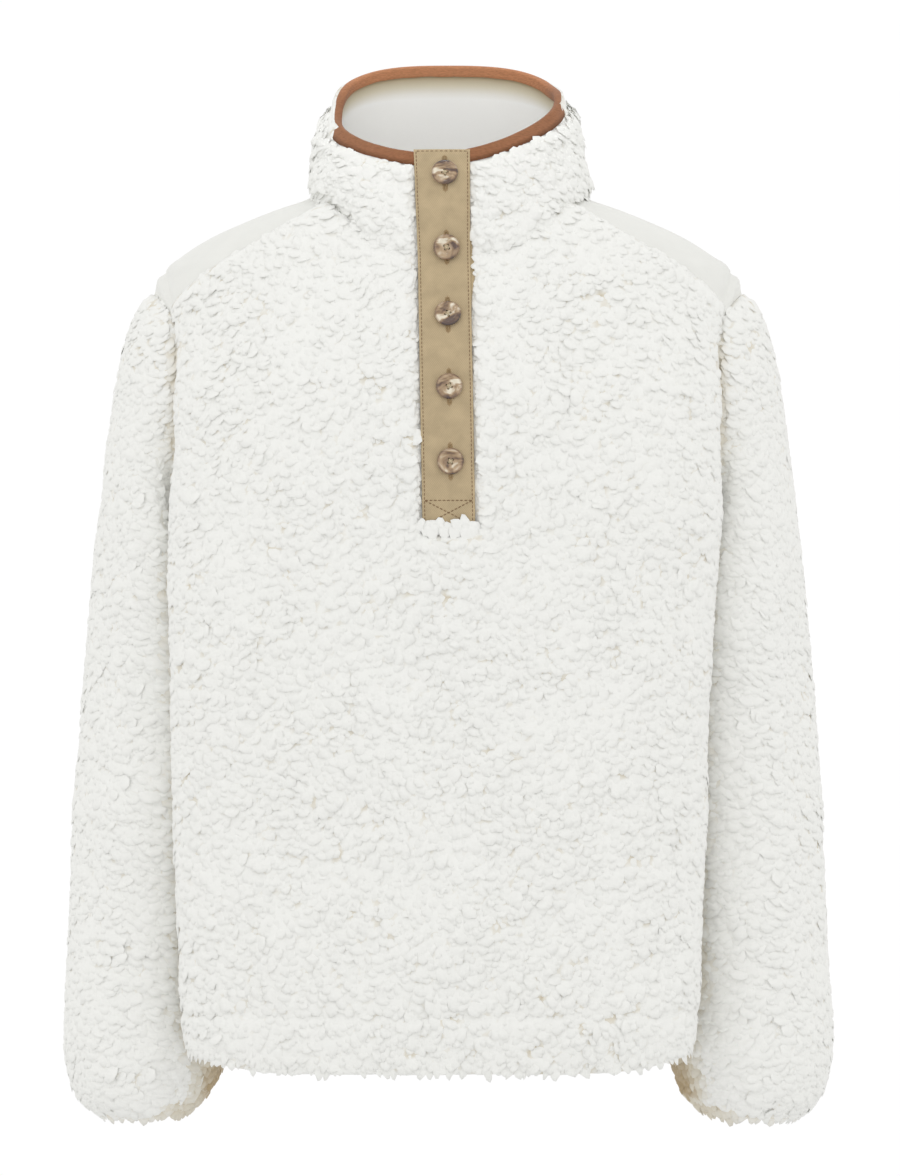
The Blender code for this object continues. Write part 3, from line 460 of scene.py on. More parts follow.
def head_rows(side, phi):
    """The rows at which the sleeve head ends, for angles round the arm."""
    rows = np.linspace(0, 2, 81)
    line = sleeve_point(side, np.repeat(rows[:, None], len(phi), 1), phi)
    run = np.cumsum(np.linalg.norm(np.diff(line, axis=0), axis=-1), axis=0)
    run = np.concatenate([np.zeros((1, len(phi))), run])
    return np.array([np.interp(head_width(p), run[:, k], rows) for k, p in enumerate(phi)])


# The collar's surface


def collar_top(angle):
    turn = np.radians(angle)
    square = np.where(np.cos(turn) > 0, COLLAR_SQUARE["front"], COLLAR_SQUARE["back"])
    radius = ring_radius(turn, COLLAR_HALF_WIDTH, COLLAR_HALF_DEPTH, square)
    x, y = radius * np.sin(turn), -radius * np.cos(turn)
    lean = COLLAR_TILT * y / COLLAR_HALF_DEPTH
    roll = COLLAR_ROLL * x / COLLAR_HALF_WIDTH * (1 - ease(y / COLLAR_LEVEL_BEHIND))
    return np.stack([x, y, COLLAR_HEIGHT + lean + roll], -1)


def slot_angles(side, off):
    """The neck seam's and the collar edge's angles at this distance from the placket's centre."""
    base = neck_height(0)
    bottom = front_angle(placket_centre(base) + side * off, base)
    x = placket_centre(PLACKET_TOP) + side * off
    return bottom, math.degrees(math.atan2(x, COLLAR_HALF_DEPTH))


def collar_point(angle, share):
    """The collar's backing, from the neck seam at share 0 to the bound edge at share 1."""
    angle, share = np.broadcast_arrays(np.asarray(angle, float), np.asarray(share, float))
    around = (angle + 180) % 360 - 180
    top_angle = around.copy()
    limit = YOKE_NECK_ANGLE["front"]
    for side in (LEFT, RIGHT):
        slot, ledge = slot_angles(side, SLOT_HALF), slot_angles(side, SLOT_HALF + LEDGE)
        bottom = [side * slot[0], side * ledge[0], limit]
        top = [side * slot[1], side * ledge[1], limit]
        ahead = (side * around > 0) & (side * around < limit)
        top_angle = np.where(ahead, side * np.interp(side * around, bottom, top), top_angle)
    base = body_point(around, neck_height(around))
    top = collar_top(top_angle)
    outward = unit(top * [1, 1, 0])
    along = share[..., None]
    return base * (1 - along) + top * along + outward * COLLAR_BELLY * np.sin(math.pi * along)


def collar_normal(angle, share):
    return normals(collar_point, np.asarray(angle, float), np.clip(share, 0.01, 0.99), 0.2, 0.01)


def armhole_direction(side, phi):
    """The way in which both walls stand off at the armhole seam."""
    body = body_normal(*armhole_place(side, phi))
    return unit(body + sleeve_normal(side, np.zeros(len(phi)), phi))


def neck_direction(angle):
    return unit(body_normal(angle, neck_height(angle)) + collar_normal(angle, np.zeros_like(angle)))


def coons(bottom, top, left, right):
    """Fills in a grid between four edges. Left and right run up, bottom and top run across."""
    u = np.linspace(0, 1, len(bottom))[None, :, None]
    v = np.linspace(0, 1, len(left))[:, None, None]
    ruled = bottom[None] * (1 - v) + top[None] * v + left[:, None] * (1 - u) + right[:, None] * u
    corners = bottom[0] * (1 - u) * (1 - v) + bottom[-1] * u * (1 - v)
    corners = corners + top[0] * (1 - u) * v + top[-1] * u * v
    return ruled - corners


def pairs(first, second):
    return np.stack(np.broadcast_arrays(np.asarray(first, float), np.asarray(second, float)), -1)


# Noise, in millimetres and the same on every run


def scatter(cells, seed):
    """Three even numbers from 0 to 1 for each whole-numbered cell."""
    x, y, z = (cells[..., i].astype(np.int64) * CELL_PRIMES[i] for i in range(3))
    mixed = x ^ y ^ z ^ (seed * SEED_PRIME)
    found = []
    for turn in range(3):
        mixed = (mixed ^ (mixed >> 15)) * 2246822519 & 0xFFFFFFFF
        mixed = (mixed ^ (mixed >> 13)) * 3266489917 & 0xFFFFFFFF
        mixed = mixed ^ (mixed >> 16)
        found.append(mixed / 4294967296.0)
    return np.stack(found, -1)


def waves(points, size, seed):
    """Smooth noise from -1 to 1 in three channels, with swells of about this size."""
    scaled = points / size
    base = np.floor(scaled)
    t = scaled - base
    t = t * t * (3 - 2 * t)
    total = np.zeros(points.shape)
    for corner in np.ndindex(2, 2, 2):
        share = np.prod(np.where(corner, t, 1 - t), axis=-1, keepdims=True)
        total += share * scatter(base + corner, seed)
    return total * 2 - 1


def wave(points, size, seed):
    """The first channel of such noise."""
    return waves(points, size, seed)[..., 0]


def curls(points, size, seed):
    """Cells like curled locks: the distances to a middle and a crease, the offset from a middle, a chance."""
    scaled = points / size
    base = np.floor(scaled)
    nearest = np.full(points.shape[:-1], 9.0)
    second = nearest.copy()
    offset = np.zeros(points.shape)
    chance = nearest.copy()
    for step in np.ndindex(3, 3, 3):
        cell = base + (np.array(step) - 1)
        place = scatter(cell, seed)
        away = scaled - cell - place
        distance = np.sqrt((away**2).sum(-1))
        closer = distance < nearest
        second = np.where(closer, nearest, np.minimum(second, distance))
        nearest = np.where(closer, distance, nearest)
        offset = np.where(closer[..., None], away, offset)
        chance = np.where(closer, place[..., 0] * 0.61 + place[..., 1] * 0.39, chance)
    return nearest, second - nearest, offset, chance


def lock_relief(points, size):
    """The height of the pile from 0 in a crease to 1 on a lock, and how curly it is there."""
    warped = points + 2.4 * waves(points, 11, PILE_SEED) + 0.9 * waves(points, 4.5, PILE_SEED + 1)
    nearest, crease, offset, chance = curls(warped * [0.9, 0.95, 1.1], size, PILE_SEED + 2)
    dome = np.sqrt(np.clip(1 - (nearest / 0.95) ** 2, 0, 1))
    wide_swell, swell = wave(points, 38, PILE_SEED + 7), wave(points, 15, PILE_SEED + 8)
    curly = ease(0.55 + 0.75 * wide_swell + 0.35 * swell)
    height = (0.45 + 0.55 * dome) * (0.45 + 0.55 * ease(crease / 0.26))
    height *= (0.75 + 0.25 * chance) * (1 - 0.5 * np.clip(offset[..., 2], -0.6, 0.6))
    return np.clip(0.72 + (height - 0.72) * (0.5 + 0.6 * curly), 0, 1.2), curly


# Making meshes


def srgb(code):
    """A hex colour as linear values."""
    values = [int(code[k : k + 2], 16) / 255 for k in (1, 3, 5)]
    return tuple(v / 12.92 if v <= 0.04045 else ((v + 0.055) / 1.055) ** 2.4 for v in values)


def node(tree, kind, settings=None, inputs=None, links=None):
    """Adds a shader node with its settings, its input values and its links from other sockets."""
    made = tree.nodes.new(kind)
    for name, value in (settings or {}).items():
        setattr(made, name, value)
    for name, value in (inputs or {}).items():
        made.inputs[name].default_value = value
    for name, socket in (links or {}).items():
        tree.links.new(socket, made.inputs[name])
    return made


def ramp(tree, fac, stops):
    made = node(tree, "ShaderNodeValToRGB", links={"Fac": fac})
    elements = made.color_ramp.elements
    while len(elements) < len(stops):
        elements.new(0.5)
    for element, (place, colour) in zip(elements, stops):
        element.position = place
        element.color = (*colour, 1)
    return made.outputs["Color"]


def add_object(name, data):
    obj = bpy.data.objects.new(name, data)
    bpy.context.scene.collection.objects.link(obj)
    return obj


def add_mesh(name, vertices, faces, material, closed=True, soft_edge=40.0):
    """A mesh object from points in millimetres, with its faces turned outwards where it is closed."""
    data = bpy.data.meshes.new(name)
    data.from_pydata((np.asarray(vertices, float) * MM).tolist(), [], faces)
    if closed:
        turned = bmesh.new()
        turned.from_mesh(data)
        bmesh.ops.recalc_face_normals(turned, faces=turned.faces)
        turned.to_mesh(data)
        turned.free()
    data.materials.append(material)
    data.shade_smooth()
    if soft_edge:
        data.set_sharp_from_angle(angle=math.radians(soft_edge))
    return add_object(name, data)


def grid_faces(index, keep=None, wrap=False):
    """The squares of a grid of vertex numbers."""
    if wrap:
        index = np.concatenate([index, index[:, :1]], axis=1)
    squares = np.stack([index[:-1, :-1], index[:-1, 1:], index[1:, 1:], index[1:, :-1]], -1)
    if keep is not None:
        return squares[keep].tolist()
    return squares.reshape(-1, 4).tolist()


def sheet_shell(name, inner, outer, material, wrap=False, soft_edge=40.0):
    """A closed wall between two grids of the same size."""
    rows, columns = inner.shape[:2]
    first = np.arange(rows * columns).reshape(rows, columns)
    second = first + rows * columns
    faces = grid_faces(second, wrap=wrap) + grid_faces(first[:, ::-1], wrap=wrap)
    ring = list(range(columns)) + ([0] if wrap else [])
    for row in (0, rows - 1):
        for a, b in zip(ring, ring[1:]):
            faces.append([int(first[row, a]), int(first[row, b]), int(second[row, b]), int(second[row, a])])
    if not wrap:
        for column in (0, columns - 1):
            for a in range(rows - 1):
                corners = (first[a, column], first[a + 1, column], second[a + 1, column], second[a, column])
                faces.append([int(c) for c in corners])
    points = np.concatenate([inner.reshape(-1, 3), outer.reshape(-1, 3)])
    return add_mesh(name, points, faces, material, soft_edge=soft_edge)


def pile_shell(name, outer, inner, material, lead=0, keep=None, wrap=False):
    """A closed wall whose pile side is finer than its backing. The pile has lead rows more, round a hem."""
    rows, columns = outer.shape[:2]
    fine = np.arange(rows * columns).reshape(rows, columns)
    coarse = np.arange(inner.shape[0] * inner.shape[1]).reshape(inner.shape[:2]) + rows * columns
    if keep is None:
        keep = np.ones((inner.shape[0] - 1, inner.shape[1] - (0 if wrap else 1)), bool)
    fine_keep = np.repeat(np.repeat(keep, FINE, 0), FINE, 1)
    lead_keep = np.ones((lead, fine_keep.shape[1]), bool)
    faces = grid_faces(fine, np.concatenate([lead_keep, fine_keep]), wrap)
    faces += grid_faces(coarse[:, ::-1], keep[:, ::-1] if not wrap else None, wrap)
    high, wide = keep.shape

    def across(row, column, fine_row):
        here = [int(fine[fine_row, (column * FINE + k) % columns]) for k in range(FINE + 1)]
        there = [int(coarse[row, (column + 1) % inner.shape[1]]), int(coarse[row, column])]
        return here + there

    def down(row, column):
        here = [int(fine[lead + row * FINE + k, column * FINE]) for k in range(FINE + 1)]
        return here + [int(coarse[row + 1, column]), int(coarse[row, column])]

    for column in range(wide):
        faces.append(across(0, column, 0))
        for row in range(1, high + 1):
            above = row < high and keep[row, column]
            if keep[row - 1, column] != above:
                faces.append(across(row, column, lead + row * FINE))
    if not wrap:
        for row in range(high):
            for column in range(wide + 1):
                left = column > 0 and keep[row, column - 1]
                right = column < wide and keep[row, column]
                if left != right:
                    faces.append(down(row, column))
        for column in (0, columns - 1):
            corner = int(coarse[0, 0 if column == 0 else -1])
            faces.append([int(fine[row, column]) for row in range(lead + 1)] + [corner])
    points = np.concatenate([outer.reshape(-1, 3), inner.reshape(-1, 3)])
    return add_mesh(name, points, faces, material, soft_edge=0)


def dress(obj, slot, *replaced):
    """Every piece rides on the one body and may stand for a solid, which it hides. Its slot is not used."""
    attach(obj, "root")
    if replaced:
        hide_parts(*replaced)
    return obj


def paint_points(obj, name, values, rest=0.0):
    """Keeps a number for each point of a mesh, for its material. Rest is for the points past the last."""
    values = np.asarray(values, np.float32).ravel()
    held = np.full(len(obj.data.vertices), rest, np.float32)
    held[: len(values)] = values
    obj.data.attributes.new(name, "FLOAT", "POINT").data.foreach_set("value", held)


# The pile


class Seam:
    """A sewn line: its points, how the pile rises beside it, and the way both walls stand off there."""

    def __init__(self, points, ledge, ramp, least, out=None):
        self.points = points
        self.ledge = ledge
        self.ramp = np.broadcast_to(ramp, len(points))
        self.least = np.broadcast_to(least, len(points))
        self.out = out


def nearest_on(points, line):
    """The distance from each point to the nearest point of a line, and which that is."""
    flat = points.reshape(-1, 3)
    best = np.full(len(flat), 1e9)
    which = np.zeros(len(flat), int)
    for k, place in enumerate(line):
        away = ((flat - place) ** 2).sum(-1)
        closer = away < best
        best[closer] = away[closer]
        which[closer] = k
    return np.sqrt(best).reshape(points.shape[:-1]), which.reshape(points.shape[:-1])


def press(points, out, seams):
    """Presses the pile down at its seams. Gives its depth and the direction in which it stands."""
    depth = np.full(points.shape[:-1], PILE)
    for seam in seams:
        away, which = nearest_on(points, seam.points)
        least = seam.least[which]
        raised = least + (PILE - least) * ease((away - seam.ledge) / seam.ramp[which])
        depth = np.minimum(depth, raised)
        if seam.out is not None:
            share = (1 - ease(away / 16))[..., None]
            out = unit(out * (1 - share) + seam.out[which] * share)
    return depth, out


def raise_pile(points, out, depth, fleece):
    """The pile's outer side: locks that stand off the backing and lean down. Also gives the relief."""
    relief, _ = lock_relief(points, fleece.lock / MM)
    swell = wave(points, 26, PILE_SEED + 9) + 1.3 * wave(points, 75, PILE_SEED + 11)
    full = depth / PILE
    tall = fleece.relief / MM
    height = depth + full * (swell + tall * (relief - 0.62))
    down = np.array([0, 0, -1.0]) - out * -out[..., 2:]
    level = np.linalg.norm(down, axis=-1, keepdims=True)
    lean = fleece.lean / MM * (full * (relief - 0.3))[..., None] * down / np.maximum(level, 0.35)
    sway = 0.7 * full[..., None] * waves(points, 7, PILE_SEED + 13)
    sway -= out * (sway * out).sum(-1, keepdims=True)
    return points + out * height[..., None] + lean + sway, relief


def down_along(out):
    """The way down a surface."""
    down = np.array([0, 0, -1.0]) + out * out[..., 2:]
    return unit(down + 1e-4)


def spread(outer, spacing, chance):
    """Places about this far apart over a grid of points: fractional rows and columns."""
    high = np.linalg.norm(np.diff(outer, axis=0), axis=-1).mean(1)
    climb = np.concatenate([[0], np.cumsum(high)])
    rows, columns = [], []
    for at in np.arange(spacing * 0.4, climb[-1], spacing * 0.88):
        row = np.interp(at, climb, np.arange(len(climb)))
        line = outer[int(row)]
        run = distances_along(line)
        count = max(1, int(run[-1] / spacing))
        start = chance.uniform(0, 1)
        along = (np.arange(count) + start + chance.uniform(-0.33, 0.33, count)) / count * run[-1]
        columns.append(np.interp(along % run[-1], run, np.arange(len(run))))
        stray = chance.uniform(-0.4, 0.4, count) * spacing / high.mean()
        rows.append(np.clip(row + stray, 0, len(outer) - 1.001))
    return np.concatenate(rows), np.concatenate(columns)


def sample(values, rows, columns):
    """The values of a grid between its points."""
    r, c = rows.astype(int), np.minimum(columns.astype(int), values.shape[1] - 2)
    t, u = rows - r, columns - c
    if values.ndim == 3:
        t, u = t[:, None], u[:, None]
    low = values[r, c] * (1 - u) + values[r, c + 1] * u
    return low * (1 - t) + values[r + 1, c] * t * (1 - u) + values[r + 1, c + 1] * t * u


def curl_mesh(name, roots, ways, sizes, stretch, wide, curly, valley_shade, material, seed, swing=0.5, about=0.0):
    """Flakes of pile: low round caps that overlap like shingles, with their lower ends standing off. Their
    shading turns out at the rim, and on their undersides it points along the cloth."""
    chance = np.random.default_rng(seed)
    count = len(roots)
    swing = swing * (1 - 0.75 * ease((np.abs(ways[:, 0]) - 0.45) / 0.4))
    turn = about + 1.1 * swing * wave(roots, 32, seed) + swing * chance.normal(0, 0.45, count)
    down = down_along(ways)
    side = np.cross(down, ways)
    down, side = (
        down * np.cos(turn)[:, None] + side * np.sin(turn)[:, None],
        side * np.cos(turn)[:, None] - down * np.sin(turn)[:, None],
    )
    size = (sizes * chance.uniform(0.62, 1.4, count))[:, None, None]
    stretch = (np.broadcast_to(stretch, count) * chance.uniform(0.85, 1.25, count))[:, None]
    wide = (np.broadcast_to(wide, count) * chance.uniform(0.85, 1.25, count))[:, None]
    rim = 2 * math.pi * (np.arange(RIM_POINTS) + chance.uniform(0, 1, (count, 1))) / RIM_POINTS
    reach = chance.uniform(0.84, 1.14, rim.shape)
    x, y = np.sin(rim) * reach, np.cos(rim) * reach
    point = 0.22 + 0.2 * (stretch - 1).clip(0, 1)
    lift = ((0.01 + 0.065 * curly) * chance.uniform(0.3, 1.4, count))[:, None]
    across = np.concatenate([x * wide * (1 - point * y), np.zeros((count, 1))], 1)
    along = np.concatenate([y * stretch + 0.15 * stretch, 0.3 * stretch], 1)
    above = np.concatenate([lift + (lift + 0.17) * y - 0.13 - 0.1 * x * x, lift * 1.3 + 0.15], 1)
    spread_out = side[:, None] * across[..., None] + down[:, None] * along[..., None]
    points = roots[:, None] + (spread_out + ways[:, None] * above[..., None]) * size
    starts = np.arange(count) * (RIM_POINTS + 1)
    faces = []
    for k in range(RIM_POINTS):
        corners = np.stack([starts + k, starts + RIM_POINTS, starts + (k + 1) % RIM_POINTS], -1)
        faces += corners.tolist()
    faces += (starts[:, None] + np.arange(RIM_POINTS)).tolist()
    obj = add_mesh(name, points.reshape(-1, 3), faces, material, closed=False, soft_edge=0)
    tip = (ROUND_TIP * np.maximum(y, -0.3))[..., None]
    lean = SOFT_RIM * side[:, None] * x[..., None] + down[:, None] * tip
    soft = np.concatenate([unit(ways[:, None] + lean), ways[:, None]], 1).reshape(-1, 3)
    corners = np.zeros(len(obj.data.loops), int)
    obj.data.loops.foreach_get("vertex_index", corners)
    shading = soft[corners]
    outward = side[:, None] * x[..., None] + down[:, None] * y[..., None] - 0.3 * ways[:, None]
    shading[3 * RIM_POINTS * count :] = unit(outward).reshape(-1, 3)
    obj.data.normals_split_custom_set(shading.tolist())
    # Painted shade: each flake is darker towards its root, under the flake above, and darker still in the
    # shadowed valleys beside the arms
    tone = np.concatenate([0.78 + 0.22 * y, np.full((count, 1), 1.0)], 1)
    tone = (tone + chance.normal(0, 0.03, (count, 1))) * (1 - valley_shade)[:, None]
    paint_points(obj, "relief", np.clip(tone, 0, 1.1))
    return obj


def valley_shade_places(places, ways, inward):
    """How much painted shade places take in the shadowed valleys beside the arms: along the armhole, where
    arm and body face each other and, on a sleeve, next to the body's edge and low on its inner side. Inward
    is 1 on the body and -1 on a sleeve."""
    near = np.zeros(len(places))
    for side in (LEFT, RIGHT):
        away, _ = nearest_on(places, armhole_seam(side).points[::2])
        near += 0.75 * bell(away, 17) * ease((-75 - places[:, 2]) / 40)
    side, height = np.sign(places[:, 0]), places[:, 2]
    turned = inward * side * ways[:, 0]
    begins = 0.5 if inward > 0 else 0.5 - 0.2 * ease((height + 600) / 30)
    facing = ease((turned - begins) / 0.4) * ease((-190 - height) / 60)
    facing = facing * (1 - ease((np.abs(places[:, 1] - ARM_Y) - ARM_REACH + 8) / 14))
    valley_shade = np.maximum(near, 0.7 * facing)
    if inward < 0:
        reach = np.maximum.reduce([side_reach(side, y, height) for y in (-80.0, -50.0, -20.0)]) + PILE
        beside = bell(np.maximum(np.abs(places[:, 0]) - reach, 0), 10)
        beside = 0.55 * beside * (ways[:, 1] < 0) * ease((-190 - height) / 60)
        valley_shade = np.maximum(valley_shade, beside) + 0.3 * ease((-600 - height) / 50) * ease((turned - 0.1) / 0.8)
    return np.clip(valley_shade, 0, 1)


def with_valley_shade(relief, outer, stand, inward):
    """A shell's relief, darkened by the same painted shade in the valleys as its flakes."""
    valley_shade = valley_shade_places(outer.reshape(-1, 3), stand.reshape(-1, 3), inward)
    return relief * (1 - valley_shade.reshape(relief.shape))


def cover(name, outer, stand, depth, flakes, material, seed, thin=None, wide=1.0, hang=None, swing=0.5,
          about=None, inward=1):
    """Lays flakes over a pile's outer side. Thin is the share left out, hang is 1 where they dangle and about
    is the angle to which they turn from straight down."""
    spacing, size = flakes
    chance = np.random.default_rng(seed)
    slope = grid_normals(outer, 1)
    slope *= np.sign((slope * stand).sum(-1, keepdims=True))
    level = 1 if hang is None else (1 - hang)[..., None]
    stand = unit(stand + 0.9 * slope * level)
    rows, columns = spread(outer, spacing, chance)
    if thin is not None:
        kept = chance.uniform(0, 1, len(rows)) >= sample(thin, rows, columns)
        rows, columns = rows[kept], columns[kept]
    full = np.clip(sample(depth, rows, columns) / PILE, 0.3, 1)
    dangle = sample(hang, rows, columns) if hang is not None else np.zeros(len(rows))
    ways = unit(sample(stand, rows, columns))
    roots = sample(outer, rows, columns)
    # Painted shade in the valleys beside the arms, for these flakes' colour
    valley_shade = valley_shade_places(roots, ways, inward)
    _, curly = lock_relief(roots, LOCK_WIDTH)
    sideways = ease((np.abs(ways[:, 0]) - 0.5) / 0.35)
    flat = ease((0.75 - full) / 0.35) + 0.85 * sideways
    height = roots[:, 2]
    lively = 0.65 + 0.6 * ease((-150 - height) / 350) + 0.4 * ease((height + 15) / 20)
    curly = np.maximum(lively * curly * np.clip(1 - flat, 0.1, 1), 0.8 * dangle)
    ways = unit(ways + chance.normal(0, 0.12, ways.shape) * (1 - 0.6 * sideways)[:, None])
    sizes = size * (0.5 + 0.5 * full) * (1 - 0.15 * dangle)
    wide = wide * (1 - 0.25 * dangle)
    stretch = 1.0 + 0.3 * dangle
    about = sample(about, rows, columns) if about is not None else 0.0
    return curl_mesh(name, roots, ways, sizes, stretch, wide, curly, valley_shade, material, seed, swing, about)


# Materials


def new_material(name, roughness, sheen=0.0, specular=0.5):
    """A material with its node tree, its shader and the place that its textures follow."""
    made = bpy.data.materials.new(name)
    made.use_nodes = True
    tree = made.node_tree
    shader = tree.nodes["Principled BSDF"]
    shader.inputs["Roughness"].default_value = roughness
    shader.inputs["Sheen Weight"].default_value = sheen
    shader.inputs["Specular IOR Level"].default_value = specular
    return made, tree, shader, node(tree, "ShaderNodeTexCoord").outputs["Object"]


def kept(tree, name):
    """The number that paint_points keeps under this name."""
    return node(tree, "ShaderNodeAttribute", {"attribute_name": name}).outputs["Fac"]


def noise(tree, place, **inputs):
    return node(tree, "ShaderNodeTexNoise", None, inputs, {"Vector": place}).outputs["Fac"]


def bands(tree, place, direction, spacing, **inputs):
    """Stripes this far apart, across the X or the Z direction."""
    made = node(tree, "ShaderNodeTexWave", {"bands_direction": direction}, inputs, {"Vector": place})
    made.inputs["Scale"].default_value = 0.314 / spacing
    return made


def moved(tree, place, **inputs):
    return node(tree, "ShaderNodeMapping", None, inputs, {"Vector": place}).outputs["Vector"]


def tones(tree, fac, colour, low, high):
    """Two tones of a colour. Low and high each give a place on the ramp and a brightness."""
    return ramp(tree, fac, [(place, tuple(bright * c for c in colour)) for place, bright in (low, high)])


def multiplied(tree, first, second, share=1.0):
    """One colour darkened by another."""
    settings = {"data_type": "RGBA", "blend_type": "MULTIPLY"}
    mixed = node(tree, "ShaderNodeMix", settings, {"Factor": share}, {"A": first, "B": second})
    return mixed.outputs["Result"]


def link_surface(tree, shader, colour, height=None, strength=0.0, distance=0.0):
    """Links a shader's colour and, where there is one, its fine relief."""
    tree.links.new(colour, shader.inputs["Base Color"])
    if height is not None:
        inputs = {"Strength": strength, "Distance": distance}
        bump = node(tree, "ShaderNodeBump", None, inputs, {"Height": height})
        tree.links.new(bump.outputs["Normal"], shader.inputs["Normal"])


def sherpa_material(fleece):
    """Sherpa is knitted polyester brushed and tumbled into curls: matt and near white, with flat flakes of
    pile a few millimetres wide that part in thin creases, where a warm shade is painted."""
    made, tree, shader, place = new_material(SHERPA, 0.95, 0.12, 0.1)
    # Painted shade: where the relief is low, in the pile's creases, at each flake's root and in the valleys
    # beside the arms, the colour turns beige and then tan
    stops = [(0.0, srgb("#b49f7c")), (0.2, srgb("#dbd4c3")), (0.55, tuple(fleece.colour))]
    tint = ramp(tree, kept(tree, "relief"), stops)
    # Single fibres are too fine to show, so the fuzz is drawn about a millimetre across
    fuzz = noise(tree, place, Scale=700, Detail=4, Roughness=0.6, Distortion=0.8)
    link_surface(tree, shader, tint, fuzz, 0.3, 0.0008)
    return made


def woven_material(name, colour, thread):
    """Plain-woven cotton: matt and even, with a fine grid of threads that shows only close to."""
    made, tree, shader, place = new_material(name, 0.75, 0.15, 0.25)
    tone = tones(tree, noise(tree, place, Scale=60, Detail=4), colour, (0.25, 0.965), (0.75, 1.0))
    across, along = (bands(tree, place, way, thread, Distortion=0.4).outputs["Fac"] for way in ("X", "Z"))
    weave = node(tree, "ShaderNodeMath", {"operation": "MULTIPLY"})
    tree.links.new(across, weave.inputs[0])
    tree.links.new(along, weave.inputs[1])
    link_surface(tree, shader, tone, weave.outputs[0], 0.3, 0.0003)
    return made


def facing_material(colour):
    """Brushed knit inside the collar: soft and even, with a warm shadow painted where it goes under the tape.
    """
    made, tree, shader, place = new_material("collar_facing_brushed_knit", 0.9, 0.2, 0.15)
    # Painted shadow of the tape: beige to brown just below it
    stops = [(0.0, tuple(colour)), (0.55, srgb("#d8d0ba")), (1.0, srgb("#b3a282"))]
    tone = ramp(tree, kept(tree, "tape_shadow"), stops)
    link_surface(tree, shader, tone, noise(tree, place, Scale=1400, Detail=2), 0.35, 0.0004)
    return made


def twill_material(colour):
    """Khaki cotton twill: diagonal ribs, about a millimetre apart so that they show, faded at its edges."""
    made, tree, shader, place = new_material("khaki_cotton_twill", 0.82, 0.0, 0.25)
    slanted = moved(tree, place, Rotation=(0, math.radians(52), 0))
    inputs = {"Distortion": 0.7, "Detail": 2, "Detail Scale": 2}
    ribs = bands(tree, slanted, "X", 0.9 * MM, **inputs)
    tone = tones(tree, noise(tree, place, Scale=95, Detail=5), colour, (0.3, 0.88), (0.7, 1.05))
    worn = kept(tree, "worn")
    faded = node(tree, "ShaderNodeMix", {"data_type": "RGBA"}, links={"Factor": worn, "A": tone})
    faded.inputs["B"].default_value = (*(min(1, 1.28 * c) for c in colour), 1)
    lined = multiplied(tree, faded.outputs["Result"], ribs.outputs["Color"], 0.32)
    link_surface(tree, shader, lined, ribs.outputs["Fac"], 0.35, 0.0003)
    return made


def tape_material(colour):
    """Brown knitted tape: matt, with fine short ribs and a slight fleck, darker in front, with painted shadow
    along its foot.
    """
    made, tree, shader, place = new_material("brown_knitted_tape", 0.85, 0.1, 0.25)
    fleck = noise(tree, moved(tree, place, Scale=(0.5, 0.5, 2.2)), Scale=700, Detail=3)
    tone = tones(tree, fleck, colour, (0.3, 0.82), (0.7, 1.16))
    # Darker towards the front, and painted shadow along the foot where the tape meets the pile
    stops = [(0.0, (1, 1, 1)), (0.7, (0.62, 0.6, 0.58)), (1.0, (0.36, 0.33, 0.3))]
    shade = ramp(tree, kept(tree, "dark"), stops)
    link_surface(tree, shader, multiplied(tree, tone, shade), fleck, 0.4, 0.0003)
    return made


def thread_material(name, colour):
    """Spun polyester thread: a soft shine along its twist."""
    made, tree, shader, place = new_material(name, 0.55)
    twist = noise(tree, place, Scale=2600, Detail=1)
    link_surface(tree, shader, tones(tree, twist, colour, (0.3, 0.8), (0.7, 1.1)))
    return made


def horn_material(trim):
    """Polished horn look in cast resin: brown and cream clouds under a clear gloss, darker at the rim."""
    made, tree, shader, place = new_material("mottled_horn_polished_resin", 0.22)
    pulled = moved(tree, place, Rotation=(0.3, 0.8, 0.2), Scale=(1, 1, 1.25))
    cloud = noise(tree, pulled, Scale=46, Detail=3, Distortion=1.6)
    stops = [(0.38, srgb("#4c2d19")), (0.45, tuple(trim.horn))]
    stops += [(0.52, srgb("#b09470")), (0.6, srgb("#e6dcc6"))]
    tone = ramp(tree, cloud, stops)
    edge = ramp(tree, kept(tree, "rim"), [(0.82, (1, 1, 1)), (0.98, (0.5, 0.4, 0.33))])
    link_surface(tree, shader, multiplied(tree, tone, edge))
    for name, value in {"Coat Weight": 1.0, "Coat Roughness": 0.04, "IOR": 1.54}.items():
        shader.inputs[name].default_value = value
    return made


# Front and back panels


def even_angles(height, start, end, count):
    """Angles round a ring that are the same distance apart along it."""
    angles = np.linspace(start, end, 900)
    line = body_point(angles, height)
    run = distances_along(line)
    return np.interp(np.linspace(0, run[-1], count), run, angles)


def hem_lift(across):
    """The hem curls up a little at its corners."""
    return CORNER_LIFT * bell(np.abs(across) - CORNER_ANGLE, CORNER_SPREAD)


def lower_places(across):
    """The grid from the hem to the underarm."""
    turned = np.linspace(HEM_HEIGHT, HEM_HEIGHT + HEM_TURN, HEM_STEPS * FINE + 1)
    above = np.linspace(HEM_HEIGHT + HEM_TURN, UNDERARM, LOWER_STEPS * FINE + 1)
    height = np.concatenate([turned, above[1:]])[:, None]
    near_hem = 1 - ease((height - HEM_HEIGHT) / 70)
    return pairs(across[None], height + hem_lift(across)[None] * near_hem)


def armhole_edge(face, side):
    """The armhole from underarm to yoke, as the angle across the panel and the height."""
    phi = np.linspace(180, YOKE_PHI, UPPER_STEPS * FINE + 1) * (1 if face == "front" else -1)
    angle, height = armhole_place(side, phi)
    return pairs(side * (90 - np.abs(90 - np.abs(angle))), height)


